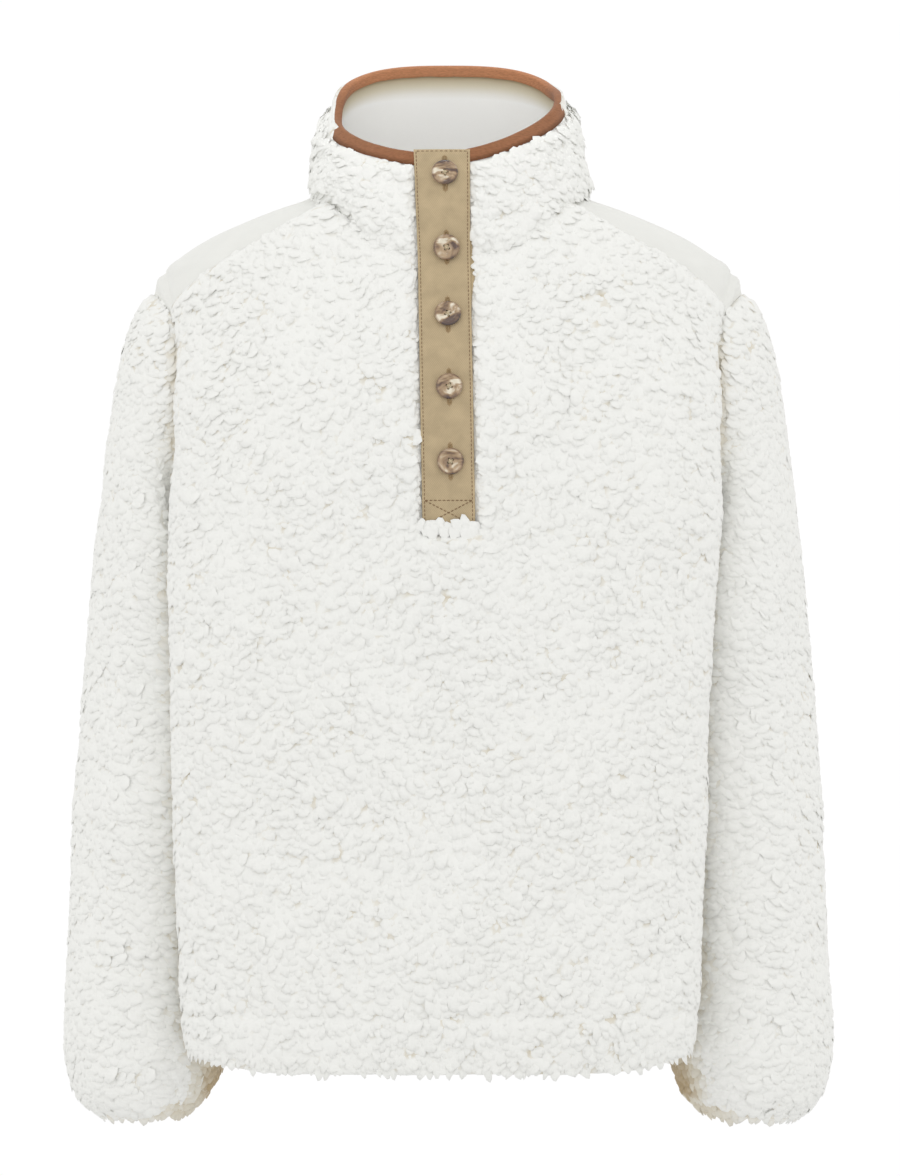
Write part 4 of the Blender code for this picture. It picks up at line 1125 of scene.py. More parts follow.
def yoke_edge(face, side):
    return pairs(*yoke_seam(face, side, np.linspace(0, 1, YOKE_STEPS * FINE + 1)))


def opening_edge(side, off, rows):
    """A line up the chest at this distance from the placket's centre, to the neck seam."""
    angle, _ = slot_angles(side, off)
    height = np.linspace(UNDERARM, neck_height(angle), rows)
    line = pairs(front_angle(placket_centre(height) + side * off, height), height)
    line[-1, 0] = angle
    return line


def front_half(side):
    """One half of the front, from the side seam to the edge of the opening."""
    columns = (YOKE_STEPS + NECK_STEPS) * FINE
    rows = UPPER_STEPS * FINE + 1
    ledge, slot = opening_edge(side, SLOT_HALF + LEDGE, rows), opening_edge(side, SLOT_HALF, rows)
    across = even_angles(-300, side * 90, ledge[0, 0], columns + 1)
    between = np.linspace(0, 1, LEDGE_STEPS * FINE + 1)[1:]
    strip = ledge[:, None] + (slot - ledge)[:, None] * between[None, :, None]
    low = lower_places(np.concatenate([across, strip[0, :, 0]]))
    neck = np.linspace(side * YOKE_NECK_ANGLE["front"], ledge[-1, 0], NECK_STEPS * FINE + 1)
    top = np.concatenate([yoke_edge("front", side), pairs(neck, neck_height(neck))[1:]])
    high = coons(pairs(across, UNDERARM), top, armhole_edge("front", side), ledge)
    high = np.concatenate([high, strip], axis=1)
    return np.concatenate([low, high[1:]])


def front_places():
    right, left = front_half(RIGHT), front_half(LEFT)
    across = np.linspace(0, 1, 2 * SLOT_STEPS * FINE + 1)[None, 1:-1, None]
    middle = right[:, -1:] + (left[:, -1:] - right[:, -1:]) * across
    return np.concatenate([right, middle, left[:, ::-1]], axis=1)


def back_places():
    columns = 2 * (YOKE_STEPS + NECK_STEPS) * FINE
    across = 180 - even_angles(-300, 270, 90, columns + 1)
    limit = YOKE_NECK_ANGLE["back"]
    neck = np.linspace(-limit, limit, 2 * NECK_STEPS * FINE + 1)
    neck_line = pairs(neck, neck_height(180 - neck))
    top = np.concatenate([yoke_edge("back", RIGHT), neck_line[1:-1], yoke_edge("back", LEFT)[::-1]])
    high = coons(pairs(across, UNDERARM), top, armhole_edge("back", RIGHT), armhole_edge("back", LEFT))
    places = np.concatenate([lower_places(across), high[1:]])
    places[..., 0] = 180 - places[..., 0]
    return places


def armhole_seam(side):
    phi = np.linspace(0, 360, 181)[:-1]
    tight = np.maximum(0, -np.cos(np.radians(phi)))
    least = PILE_AT_SEAM + (PILE_UNDERARM - PILE_AT_SEAM) * ease(2.2 * tight)
    line = body_point(*armhole_place(side, phi))
    return Seam(line, 0.0, 12 + 58 * tight, least, armhole_direction(side, phi))


def panel_seams(face):
    """Every seam that presses a panel's pile down."""
    seams = [armhole_seam(side) for side in (LEFT, RIGHT)]
    share = np.linspace(0, 1, 60)
    for side in (LEFT, RIGHT):
        across, height = yoke_seam(face, side, share)
        seams.append(Seam(body_point(facing_angle(face, across), height), 0.0, 9, PILE_AT_SEAM))
    limit = YOKE_NECK_ANGLE[face]
    neck = facing_angle(face, np.linspace(-limit, limit, 90))
    seams.append(Seam(body_point(neck, neck_height(neck)), 0.0, 10, PILE_AT_NECK, neck_direction(neck)))
    return seams


def hem_rows(points, out, fleece):
    """The turned hem: up its inside and round its fold, to join the outside. Points run up from the hem."""

    def raised(rows, ways):
        return raise_pile(rows, ways, np.full(rows.shape[:-1], HEM_FOLD), fleece)

    turn = HEM_STEPS * FINE
    inside, relief = raised(points[turn:0:-1], -out[turn:0:-1])
    up = unit(points[1] - points[0])
    middle = points[0] + out[0] * (PILE - HEM_FOLD) / 2
    radius = (PILE + HEM_FOLD) / 2
    fold, fold_relief = [], []
    for angle in np.linspace(math.pi, 0, FOLD_ROWS + 2)[1:-1]:
        way = out[0] * math.cos(angle) - up * math.sin(angle)
        centre = middle + way * (radius - HEM_FOLD)
        row, height = raised(centre[None], way[None])
        fold.append(row)
        fold_relief.append(height)
    first, first_relief = raised(points[:1], -out[:1])
    rows = np.concatenate([inside, first, *fold])
    return rows, np.concatenate([relief, first_relief, *fold_relief])


def with_fold(fold, *grids):
    """Adds the outer rows of a hem's fold below a grid, and below others the same rows as their first one."""
    first, *others = grids
    grown = [np.concatenate([np.repeat(grid[:1], len(fold), 0), grid]) for grid in others]
    return [np.concatenate([fold, first]), *grown]


def panel_curls(face, fold, outer, out, depth, places, material, keep):
    """Flakes over a panel's pile, and tufts that hang from its hem."""
    height = places[..., 1]
    across = either_way(places[..., 0])
    across = np.where(across > 90, 180 - across, across)
    lift = hem_lift(across) * (height < HEM_HEIGHT + 60)
    hang = bell(height - HEM_HEIGHT - lift, 11)
    beside = ease((across - 70) / 12) * (height < UNDERARM + 20)
    thin = 0.4 * beside
    if keep is not None:
        whole = np.ones((len(height) - 1, height.shape[1] - 1), bool)
        whole[-keep.shape[0] * FINE :] = np.repeat(np.repeat(keep, FINE, 0), FINE, 1)
        thin[:-1, :-1][~whole] = 2
        thin[1:, 1:][~whole] = 2
    level = unit(out * [1, 1, 0.001])
    out = np.where(hang[..., None] > 0.6, level, out)
    outer, out, depth, thin, hang = with_fold(fold, outer, out, depth, thin, hang)
    seed = CURL_SEEDS["panel"]
    return cover(f"{face}_curls", outer, out, depth, FLAKES[face], material, seed, thin, hang=hang, swing=0.8)


def make_panel(face, material, fleece):
    places = front_places() if face == "front" else back_places()
    angle, height = places[..., 0], places[..., 1]
    points = body_point(angle, height)
    out = grid_normals(points, 1 if face == "front" else -1)
    out *= np.sign((out * body_normal(angle, height)).sum(-1, keepdims=True))
    seams = panel_seams(face)
    keep = None
    start = (HEM_STEPS + LOWER_STEPS) * FINE
    coarse_rows = LOWER_STEPS + UPPER_STEPS
    if face == "front":
        edge = (YOKE_STEPS + NECK_STEPS + LEDGE_STEPS) * FINE
        last = places.shape[1] - 1
        for column in (edge, last - edge):
            seams.append(Seam(points[start::2, column], LEDGE - 1.5, 7, PILE_AT_LEDGE))
        seams.append(Seam(points[start, edge : last - edge + 1], LEDGE - 3, 8, PILE_AT_LEDGE))
        keep = np.ones((coarse_rows, last // FINE), bool)
        keep[LOWER_STEPS:, edge // FINE : (last - edge) // FINE] = False
    depth, stand = press(points, out, seams)
    stitched = bell(height - HEM_HEIGHT - HEM_STITCH, 2.6)
    depth = depth * (1 - 0.22 * stitched)
    outer, relief = raise_pile(points, stand, depth, fleece)
    turned, turned_relief = hem_rows(points, out, fleece)
    backing = (points - out * BACKING)[HEM_STEPS * FINE :: FINE, ::FINE]
    whole = np.concatenate([turned, outer])
    lead = len(turned) + HEM_STEPS * FINE
    obj = pile_shell(f"{face}_sherpa", whole, backing, material, lead, keep)
    # The shell's colour takes painted shade in its creases and in the valleys beside the arms
    relief = with_valley_shade(relief, outer, stand, 1)
    paint_points(obj, "relief", np.concatenate([turned_relief, relief]), 0.5)
    return obj, panel_curls(face, turned[-1:], outer, stand, depth, places, material, keep)


# Sleeves


def make_sleeve(name, side, material, fleece):
    columns = SLEEVE_STEPS_ROUND * FINE
    phi = np.arange(columns) * 360 / columns
    signed = (phi + 180) % 360 - 180
    headed = np.abs(signed) <= HEAD_PHI
    start = np.zeros(columns)
    start[headed] = head_rows(side, signed[headed])
    last = len(SLEEVE["outer_x"])
    share = np.linspace(0, 1, SLEEVE_STEPS_DOWN * FINE + 1)[:, None]
    share = share + 0.04 * np.sin(2 * math.pi * share)
    row = start + (last - start) * share
    points = sleeve_point(side, row, phi)
    out = grid_normals(points, 1, wrap=True)
    middle = points.mean(1, keepdims=True)
    out *= np.sign(((points - middle) * out).sum(-1)[len(points) // 2 :].mean())
    seams = [armhole_seam(side)]
    edge = np.linspace(-HEAD_PHI, HEAD_PHI, 50)
    line = sleeve_point(side, head_rows(side, edge), edge)
    seams.append(Seam(line, 0.0, 9, PILE_AT_SEAM))
    depth, stand = press(points, out, seams)
    outside = ease(side * out[..., 0] / 0.8) * bell(points[..., 2] - ARM_FLAT_HEIGHT, ARM_FLAT_SPREAD)
    outer, relief = raise_pile(points, stand, depth - ARM_FLAT * outside, fleece)
    # The shell's colour takes painted shade in its creases and in the valleys beside the body
    relief = with_valley_shade(relief, outer, stand, -1)
    points, out = points[::-1], out[::-1]
    turned, turned_relief = hem_rows(points, out, fleece)
    backing = (points - out * BACKING)[HEM_STEPS * FINE :: FINE, ::FINE]
    whole = np.concatenate([turned, outer[::-1]])
    lead = len(turned) + HEM_STEPS * FINE
    obj = pile_shell(f"{name}_sherpa", whole, backing, material, lead, wrap=True)
    paint_points(obj, "relief", np.concatenate([turned_relief, relief[::-1]]), 0.5)
    hang = bell(last - row, 0.3)
    seen = ease((0.35 - stand[..., 1]) / 0.7)
    thin = 0.35 * (1 - seen)
    grids = [grid[::-1] for grid in (outer, stand, depth, thin, hang)]
    outer, stand, depth, thin, hang = with_fold(turned[-1:], *grids)
    seed, flakes, wide, swing = CURL_SEEDS["sleeve"] + side, FLAKES["sleeve"], 1.25, 0.35
    name = f"{name}_curls"
    made = cover(name, outer, stand, depth, flakes, material, seed, thin, wide, hang, swing, inward=-1)
    return obj, made


def make_sleeve_head(name, side, material):
    """The smooth top of the sleeve, with the ridges of its gathered edge beside the armhole seam."""
    phi = np.linspace(-HEAD_PHI, HEAD_PHI, 91)
    ends = head_rows(side, phi)
    share = np.linspace(0, 1, 15)[:, None]
    points = sleeve_point(side, share * ends, phi)
    out = grid_normals(points, 1)
    out *= np.sign((out[7] * sleeve_normal(side, ends / 2, phi)).sum(-1))[None, :, None]
    run = share * head_width(phi)
    wide = ease((head_width(phi) - 4) / 8)
    near = (1 - ease(run / 10))[..., None]
    out = unit(out * (1 - near) + armhole_direction(side, phi) * near)
    gathers = GATHERS[side] * wide * np.abs(np.sin(math.pi * run / GATHER_STEP)) ** 0.5
    gathers = gathers * np.sin(math.pi * share)
    puff = wide * (SHOULDER_LIFT + 2.2 * ease(run / 7)) * ease((1 - share) / 0.6)
    outer = points + out * (WOVEN + puff + gathers)[..., None]
    return sheet_shell(f"{name}_woven", points, outer, material)


def make_yoke(name, side, material):
    """The smooth shoulder, eased into the neck with small tucks and pressed flat along its seams."""
    count = 61
    phi = np.linspace(YOKE_PHI, -YOKE_PHI, count)
    share = np.linspace(0, 1, 51)
    front, back = pairs(*yoke_seam("front", side, share)), pairs(*yoke_seam("back", side, share))
    back[:, 0] = side * 180 - back[:, 0]
    neck = np.linspace(front[-1, 0], back[-1, 0], count)
    armhole = pairs(*armhole_place(side, phi))
    places = coons(armhole, pairs(neck, neck_height(neck)), front, back)
    points = body_point(places[..., 0], places[..., 1])
    out = body_normal(places[..., 0], places[..., 1])
    to_armhole, _ = nearest_on(points, points[0])
    to_neck, _ = nearest_on(points, points[-1])
    tucks = 0.8 * np.exp(-to_neck / 11) * np.sin(points[..., 1] * 2 * math.pi / 9 + 0.6 * side)
    wide = ease((head_width(phi) - 4) / 8)
    near = (1 - ease(to_armhole / 12))[..., None]
    out = unit(out * (1 - near) + armhole_direction(side, phi) * near)
    ridges = np.abs(np.sin(math.pi * to_armhole / GATHER_STEP)) ** 0.5
    gathers = bell(to_armhole - 7, 7) * ridges
    lift = SHOULDER_LIFT * bell(to_armhole, 14)
    drape = 0.7 * wave(points, 45, 21)
    height = WOVEN + np.maximum(tucks, -0.4) + drape * ease(to_armhole / 20) * ease(to_neck / 20)
    height = height + wide * (lift + GATHERS[side] * gathers)
    return sheet_shell(f"{name}_woven", points, points + out * height[..., None], material)


# Collar


def collar_angles(neck_steps, yoke_steps):
    """Angles round the neck from the opening's left edge to its right one."""
    front, back = YOKE_NECK_ANGLE["front"], 180 - YOKE_NECK_ANGLE["back"]
    half = {}
    for side in (LEFT, RIGHT):
        slot, ledge = slot_angles(side, SLOT_HALF)[0], slot_angles(side, SLOT_HALF + LEDGE)[0]
        strip = np.linspace(slot, ledge, LEDGE_STEPS * FINE + 1)[:-1]
        ahead = np.linspace(ledge, side * front, neck_steps * FINE + 1)[:-1]
        beside = np.linspace(side * front, side * back, yoke_steps * FINE + 1)
        half[side] = np.concatenate([strip, ahead, beside])
    behind = np.linspace(back, 360 - back, 2 * neck_steps * FINE + 1)[1:-1]
    return np.concatenate([half[LEFT], behind, (half[RIGHT] + 360)[::-1]])


def make_collar(material, fleece):
    around = collar_angles(NECK_STEPS, 22)
    angle, share = np.meshgrid(around, np.linspace(0, 1, COLLAR_STEPS_UP * FINE + 1))
    points = collar_point(angle, share)
    out = collar_normal(angle, share)
    seams = [
        Seam(points[0, ::3], 0.0, 10, PILE_AT_NECK, neck_direction(angle[0, ::3])),
        Seam(points[-1, ::3], BINDING_OUTSIDE + 0.6, 3.5, PILE_AT_LEDGE),
        Seam(points[::2, 0], LEDGE - 1.5, 7, PILE_AT_LEDGE),
        Seam(points[::2, -1], LEDGE - 1.5, 7, PILE_AT_LEDGE),
    ]
    depth, stand = press(points, out, seams)
    rumple = 2.2 * wave(points, 30, 61) + 1.2 * wave(points, 15, 62)
    beside = ease((np.abs(points[..., 0]) - 60) / 14) * ease((points[..., 1] + 22) / 22)
    low_right = ease((-points[..., 0] - 55) / 20) * (1 - ease(share / 0.5))
    depth = depth + rumple * ease((depth - 4) / 4)
    depth = depth + 3.0 * beside * ease((share - 0.45) / 0.3) - 3.0 * low_right
    outer, relief = raise_pile(points, stand, depth, fleece)
    obj = pile_shell("collar_sherpa", outer, (points - out * BACKING * 0.5)[::FINE, ::FINE], material)
    # The relief also gives painted shade in the pile's creases
    paint_points(obj, "relief", relief, 0.5)
    from_top, _ = nearest_on(points, points[-1, ::4])
    thin = np.where(from_top < BINDING_OUTSIDE + 1.6 - 1.0 * beside, 2.0, 0.0)
    upward = math.pi * beside * (1 - ease((from_top - BINDING_OUTSIDE - 1.5) / 3.5))
    seed, flakes = CURL_SEEDS["collar"], FLAKES["collar"]
    made = cover("collar_curls", outer, stand, depth, flakes, material, seed, thin, swing=0.9, about=upward)
    return obj, made


def make_facing(material):
    around = collar_angles(5, 7)
    angle, share = np.meshgrid(around, np.linspace(0, 1, 25))
    points, out = collar_point(angle, share), collar_normal(angle, share)
    soft = 0.35 * wave(points, 35, 31) * np.sin(math.pi * share)
    inner = points - out * (LAYER_GAP + FACING + np.maximum(soft, -0.2))[..., None]
    obj = sheet_shell("collar_facing_knit", inner, points - out * LAYER_GAP, material)
    length = np.linalg.norm(points[-1] - points[0], axis=-1)
    below_tape = (1 - share) * length - BINDING_INSIDE
    behind = ease((points[..., 1] + 10) / 45)
    # Painted shadow below the tape, towards the back
    paint_points(obj, "tape_shadow", np.clip(1 - below_tape / 15, 0, 1) * behind)
    return obj


def make_binding(material):
    """The tape folded over the collar's edge, with softly rolled edges and a slight pucker."""
    inside = -LAYER_GAP * 2 - FACING - 0.2
    outside = PILE_AT_LEDGE + LAYER_GAP
    top = LAYER_GAP + BINDING + 0.2
    half = (outside + BINDING - inside + BINDING) / 2
    middle = (outside + inside) / 2
    section = [(inside - BINDING, -BINDING_INSIDE + 1.0), (inside - BINDING, -4.5), (inside - BINDING, -2.0)]
    for turn in np.radians(np.arange(180, -1, -22.5)):
        section.append((middle + half * math.cos(turn), top - half * 0.7 + half * 0.7 * math.sin(turn)))
    face = outside + BINDING
    section += [(face, -3.0), (face + 0.15, -6.0), (face, -BINDING_OUTSIDE + 1.0)]
    section += [(face - 0.4, -BINDING_OUTSIDE), (outside, -BINDING_OUTSIDE + 0.3)]
    section += [(outside, -1.0), (inside, -1.0)]
    section += [(inside, -BINDING_INSIDE + 0.3), (inside - BINDING + 0.4, -BINDING_INSIDE)]
    angle = collar_angles(NECK_STEPS, 22)
    edge, out = collar_point(angle, 1.0), collar_normal(angle, 1.0)
    up = unit(edge - collar_point(angle, 1 - 12 / 80))
    pucker = 0.25 * wave(edge, 6, 41) + 0.3 * wave(edge, 14, 42)
    rings = []
    for o, u in section:
        grow = 1.0 if o in (outside, inside) else 0.0
        away = o + (1 - grow) * pucker * (1 if o > middle else -0.4)
        rings.append(edge + out * np.expand_dims(away, -1) + up * (u + (u < -5) * pucker)[..., None])
    rings = np.stack(rings)
    index = np.arange(rings.shape[0] * rings.shape[1]).reshape(rings.shape[:2])
    faces = grid_faces(np.concatenate([index, index[:1]]))
    faces += [index[:, 0].tolist(), index[::-1, -1].tolist()]
    obj = add_mesh("collar_binding_tape", rings.reshape(-1, 3), faces, material)
    # Darker towards the front; along the foot, painted shadow where the tape meets the pile
    low = np.array([[u < -BINDING_OUTSIDE + 1.5] for _, u in section])
    paint_points(obj, "dark", 0.7 * (1 - ease((rings[..., 1] - 15) / 35)) + 0.3 * low)
    return obj


# Placket


def opening_point(x, height):
    """The backing's surface at the front opening, on the chest and on up the collar."""
    x, height = np.broadcast_arrays(np.asarray(x, float), np.asarray(height, float))
    seam = neck_height(0)
    low = body_point(front_angle(x, np.minimum(height, seam)), np.minimum(height, seam))
    top = collar_top(0.0)
    share = np.clip((height - seam) / (top[2] - seam), 0, 1.1)
    bend = COLLAR_SQUARE["front"]
    top_y = -COLLAR_HALF_DEPTH * (1 - np.abs(x / COLLAR_HALF_WIDTH) ** bend) ** (1 / bend)
    belly = COLLAR_BELLY * np.sin(math.pi * np.clip(share, 0, 1))
    y = low[..., 1] * (1 - share) + top_y * share - belly
    return np.stack([x, y, height], -1)


def opening_normal(x, height):
    return normals(opening_point, x, height, 0.5, 4.0)


def placket_rise(across, height, half):
    """How the upper placket stands: rolled edges, sunk stitch lines and soft pulls between the buttons."""
    edge = half - np.abs(across)
    roll = 0.35 * bell(edge, 1.6) - 0.3 * bell(edge - STITCH_IN, 0.8)
    ends = np.minimum(PLACKET_TOP - height, height - PLACKET_BOTTOM)
    roll = roll - 0.25 * bell(ends - STITCH_IN, 0.8)
    points = np.stack([across, height * 0.9, np.zeros_like(across)], -1)
    pulls = 0.45 * wave(points, 17, 51) * ease(edge / 6) + 0.25 * wave(points, 7, 52)
    edge_ripple = 0.8 * np.maximum(0, np.sin((height + 30) / 14)) * bell(across + half, 7)
    return roll + pulls + edge_ripple * ease((height + 60) / 30) * (height < 20)


def placket_outer(across, height):
    """A point on the upper placket's face, and the way out of it."""
    x = placket_centre(height) + across
    out = opening_normal(x, height)
    rise = UPPER_HIGH + placket_rise(across, height, PLACKET_WIDTH / 2)
    return opening_point(x, height) + out * rise[..., None], out


def make_placket(material):
    half = PLACKET_WIDTH / 2
    up = np.linspace(PLACKET_BOTTOM, PLACKET_TOP, 185)
    height, across = np.meshgrid(up, np.linspace(-half, half, 35), indexing="ij")
    edge = half - np.abs(across)
    face, out = placket_outer(across, height)
    ends = np.minimum(PLACKET_TOP - height, height - PLACKET_BOTTOM)
    rounded = np.minimum(1, np.minimum(edge, ends) / 1.0 + 0.35)
    inner = opening_point(placket_centre(height) + across, height) + out * UPPER_LOW
    outer = inner + (face - inner) * rounded[..., None]
    obj = sheet_shell("placket_twill", inner, outer, material, soft_edge=60)
    worn = bell(edge, 0.9) * 0.6 + 0.35 * bell(ends, 0.9)
    paint_points(obj, "worn", np.concatenate([np.zeros(worn.size), worn.ravel()]))
    return obj


def make_foot_curls(material):
    """Two rows of tufts of the chest's pile, which lap over the placket's lower end."""
    first, second = 13, 10
    count = first + second
    chance = np.random.default_rng(CURL_SEEDS["foot_places"])
    across = np.concatenate([np.linspace(-19, 19, first), np.linspace(-17, 17, second)])
    across = across + chance.uniform(-1.4, 1.4, count)
    rise = np.concatenate([chance.uniform(-0.6, 1.8, first), chance.uniform(-4.5, -2.0, second)])
    height = PLACKET_BOTTOM + rise
    x = placket_centre(height) + across
    out = opening_normal(x, height)
    roots = opening_point(x, height) + out * (UPPER_HIGH + 0.7 + chance.uniform(0, 0.6, count))[:, None]
    sizes, curly, valley_shade = np.full(count, 3.9), np.ones(count), np.zeros(count)
    name, seed = "placket_foot_curls", CURL_SEEDS["foot"]
    return curl_mesh(name, roots, out, sizes, 1.15, 0.85, curly, valley_shade, material, seed, 0.9, math.pi)


def make_under_placket(material):
    half = PLACKET_WIDTH / 2 + 0.1
    up = np.linspace(UNDER_BOTTOM, UNDER_TOP, 120)
    height, across = np.meshgrid(up, np.linspace(-5, half, 16), indexing="ij")
    bulge = 3.4 * bell(height + 52, 17) * ease((across - 8) / 10)
    x = placket_centre(height) + across + bulge * (across > 10)
    points, out = opening_point(x, height), opening_normal(x, height)
    ripple = 0.3 * wave(points, 12, 55) * ease((across - 12) / 8)
    outer = points + out * (UNDER_LOW + UNDER_CLOTH + np.minimum(ripple, LAYER_GAP * 0.6))[..., None]
    obj = sheet_shell("placket_under_twill", points + out * UNDER_LOW, outer, material, soft_edge=60)
    paint_points(obj, "worn", np.zeros(len(obj.data.vertices)))
    return obj


def stitch_run(start, end):
    """Stitches along a straight line on the placket, as pairs of ends."""
    start, end = np.array(start, float), np.array(end, float)
    length = np.linalg.norm(end - start)
    count = max(1, int(length / STITCH_STEP))
    middles = (np.arange(count) + 0.5) / count
    half = STITCH_LENGTH / 2 / length
    return [(start + (end - start) * (m - half), start + (end - start) * (m + half)) for m in middles]


def thread_mesh(name, runs, radius, material, sides=6):
    """Short threads, each a tapered closed form along its own points."""
    points, faces = [], []
    for line in runs:
        line = np.asarray(line, float)
        along = unit(np.gradient(line, axis=0))
        aside = unit(np.cross(along, [0.3, 1.0, 0.2]))
        above = np.cross(along, aside)
        first = len(points)
        shares = np.linspace(0, 1, len(line))
        sizes = radius * np.clip(np.sin(math.pi * np.clip(shares, 0.12, 0.88)) ** 0.4, 0.5, 1)
        for place, a, b, size in zip(line, aside, above, sizes):
            for k in range(sides):
                turn = 2 * math.pi * k / sides
                points.append(place + (a * math.cos(turn) + b * math.sin(turn)) * size)
        for r in range(len(line) - 1):
            for k in range(sides):
                n = (k + 1) % sides
                low, high = first + r * sides, first + (r + 1) * sides
                faces.append([low + k, low + n, high + n, high + k])
        faces.append([first + k for k in reversed(range(sides))])
        faces.append([first + (len(line) - 1) * sides + k for k in range(sides)])
    return add_mesh(name, points, faces, material)


def make_placket_stitches(material):
    half = PLACKET_WIDTH / 2 - STITCH_IN
    top, bottom = PLACKET_TOP - STITCH_IN, PLACKET_BOTTOM + STITCH_IN
    box = bottom + BOX_HEIGHT
    runs = stitch_run((-half, bottom), (-half, top)) + stitch_run((half, bottom), (half, top))
    runs += stitch_run((-half, top), (half, top)) + stitch_run((-half, bottom), (half, bottom))
    runs += stitch_run((-half, box), (half, box))
    runs += stitch_run((-half, bottom), (half, box)) + stitch_run((-half, box), (half, bottom))
    lines = []
    for start, end in runs:
        steps = np.linspace(0, 1, 4)[:, None]
        flat = start + (end - start) * steps
        face, out = placket_outer(flat[:, 0], flat[:, 1])
        rise = np.array([-0.12, 0.2, 0.2, -0.12])[:, None]
        lines.append(face + out * rise)
    return thread_mesh("placket_stitching", lines, STITCH_RADIUS, material)


# Buttons


HOLE_TURNS = [math.radians(45 + 90 * k) for k in range(4)]
HOLE_PLACES = [(BUTTON_HOLE_OFFSET * math.cos(t), BUTTON_HOLE_OFFSET * math.sin(t)) for t in HOLE_TURNS]


def button_seat(height):
    """Where a button lies on the placket, and the way out of it there."""
    x = float(placket_centre(height)) + BUTTON_OFF_CENTRE
    out = opening_normal(np.array(x), np.array(height))
    seat = opening_point(x, height)
    rim = np.radians(np.arange(0, 360, 30))
    around = opening_point(x + BUTTON_SEAT * np.sin(rim), height + BUTTON_SEAT * np.cos(rim))
    lift = max(0.0, float(((around - seat) @ out).max()))
    return seat + out * (UPPER_HIGH + LAYER_GAP + lift), out


def button_frame(height, turn):
    seat, out = button_seat(height)
    lean = math.atan2(-out[2], -out[1])
    place = Matrix.Translation(Vector(seat) * MM) @ Matrix.Rotation(math.pi / 2 + lean, 4, "X")
    return place @ Matrix.Rotation(turn, 4, "Z")


def make_button(number, height, material):
    """A turned four-hole button with a dished middle, a rolled rim and a worn edge."""
    profile = [(0.0, 1.75), (3.6, 1.75), (4.8, 1.95), (5.5, 2.45), (6.3, 2.95), (7.3, 3.25), (8.3, 3.25)]
    profile += [(9.0, 2.95), (BUTTON_RADIUS, 2.35), (BUTTON_RADIUS, 1.5), (9.0, 0.75), (8.2, 0.2)]
    profile += [(BUTTON_SEAT, 0.0), (0.0, 0.0)]
    steps = 56
    made = bmesh.new()
    rings = []
    for radius, high in profile:
        if radius == 0:
            rings.append([made.verts.new((0, 0, high * MM))])
            continue
        ring = []
        for k in range(steps):
            turn = 2 * math.pi * k / steps
            x, y = radius * math.cos(turn), radius * math.sin(turn)
            ring.append(made.verts.new((x * MM, y * MM, high * MM)))
        rings.append(ring)
    for low, high in zip(rings, rings[1:]):
        for k in range(steps):
            n = (k + 1) % steps
            corners = [low[k % len(low)], high[k % len(high)], high[n % len(high)], low[n % len(low)]]
            made.faces.new(list(dict.fromkeys(corners)))
    bmesh.ops.recalc_face_normals(made, faces=made.faces)
    name = f"button_{number}_horn"
    data = bpy.data.meshes.new(name)
    made.to_mesh(data)
    made.free()
    obj = add_object(name, data)
    drill = bmesh.new()
    radius = BUTTON_HOLE_RADIUS * MM
    sizes = {"segments": 20, "radius1": radius, "radius2": radius, "depth": 9 * MM}
    for x, y in HOLE_PLACES:
        place = Matrix.Translation((x * MM, y * MM, 0))
        bmesh.ops.create_cone(drill, cap_ends=True, matrix=place, **sizes)
    drill_data = bpy.data.meshes.new("button_drill")
    drill.to_mesh(drill_data)
    drill.free()
    cutter = add_object("button_drill", drill_data)
    cut = obj.modifiers.new("thread_holes", "BOOLEAN")
    cut.object = cutter
    bpy.context.view_layer.update()
    cut_mesh = bpy.data.meshes.new_from_object(obj.evaluated_get(bpy.context.evaluated_depsgraph_get()))
    obj.modifiers.clear()
    obj.data = cut_mesh
    bpy.data.objects.remove(cutter)
    cut_mesh.materials.clear()
    cut_mesh.materials.append(material)
    cut_mesh.shade_smooth()
    cut_mesh.set_sharp_from_angle(angle=math.radians(38))
    reach = [math.hypot(vertex.co.x, vertex.co.y) / (BUTTON_RADIUS * MM) for vertex in cut_mesh.vertices]
    cut_mesh.transform(button_frame(height, 0.9 * number))
    paint_points(obj, "rim", reach)
    return obj


def make_button_threads(material):
    """Thread that crosses through each button's four holes."""
    lines = []
    for number, height in enumerate(BUTTON_HEIGHTS, 1):
        place = button_frame(height, 0.9 * number)
        for a, b, over in ((0, 2, 2.25), (1, 3, 2.5)):
            start, end = np.array(HOLE_PLACES[a]), np.array(HOLE_PLACES[b])
            way = end - start
            for aside in (-0.28, 0.28):
                shift = aside * np.array([-way[1], way[0]]) / np.linalg.norm(way)
                line = []
                for share, high in ((0, 0.6), (0.04, 1.9), (0.3, over), (0.7, over), (0.96, 1.9), (1, 0.6)):
                    spot = start + way * share + shift
                    line.append(np.array(place @ Vector((spot[0] * MM, spot[1] * MM, high * MM))) / MM)
                lines.append(line)
    return thread_mesh("button_threads", lines, 0.3, material)


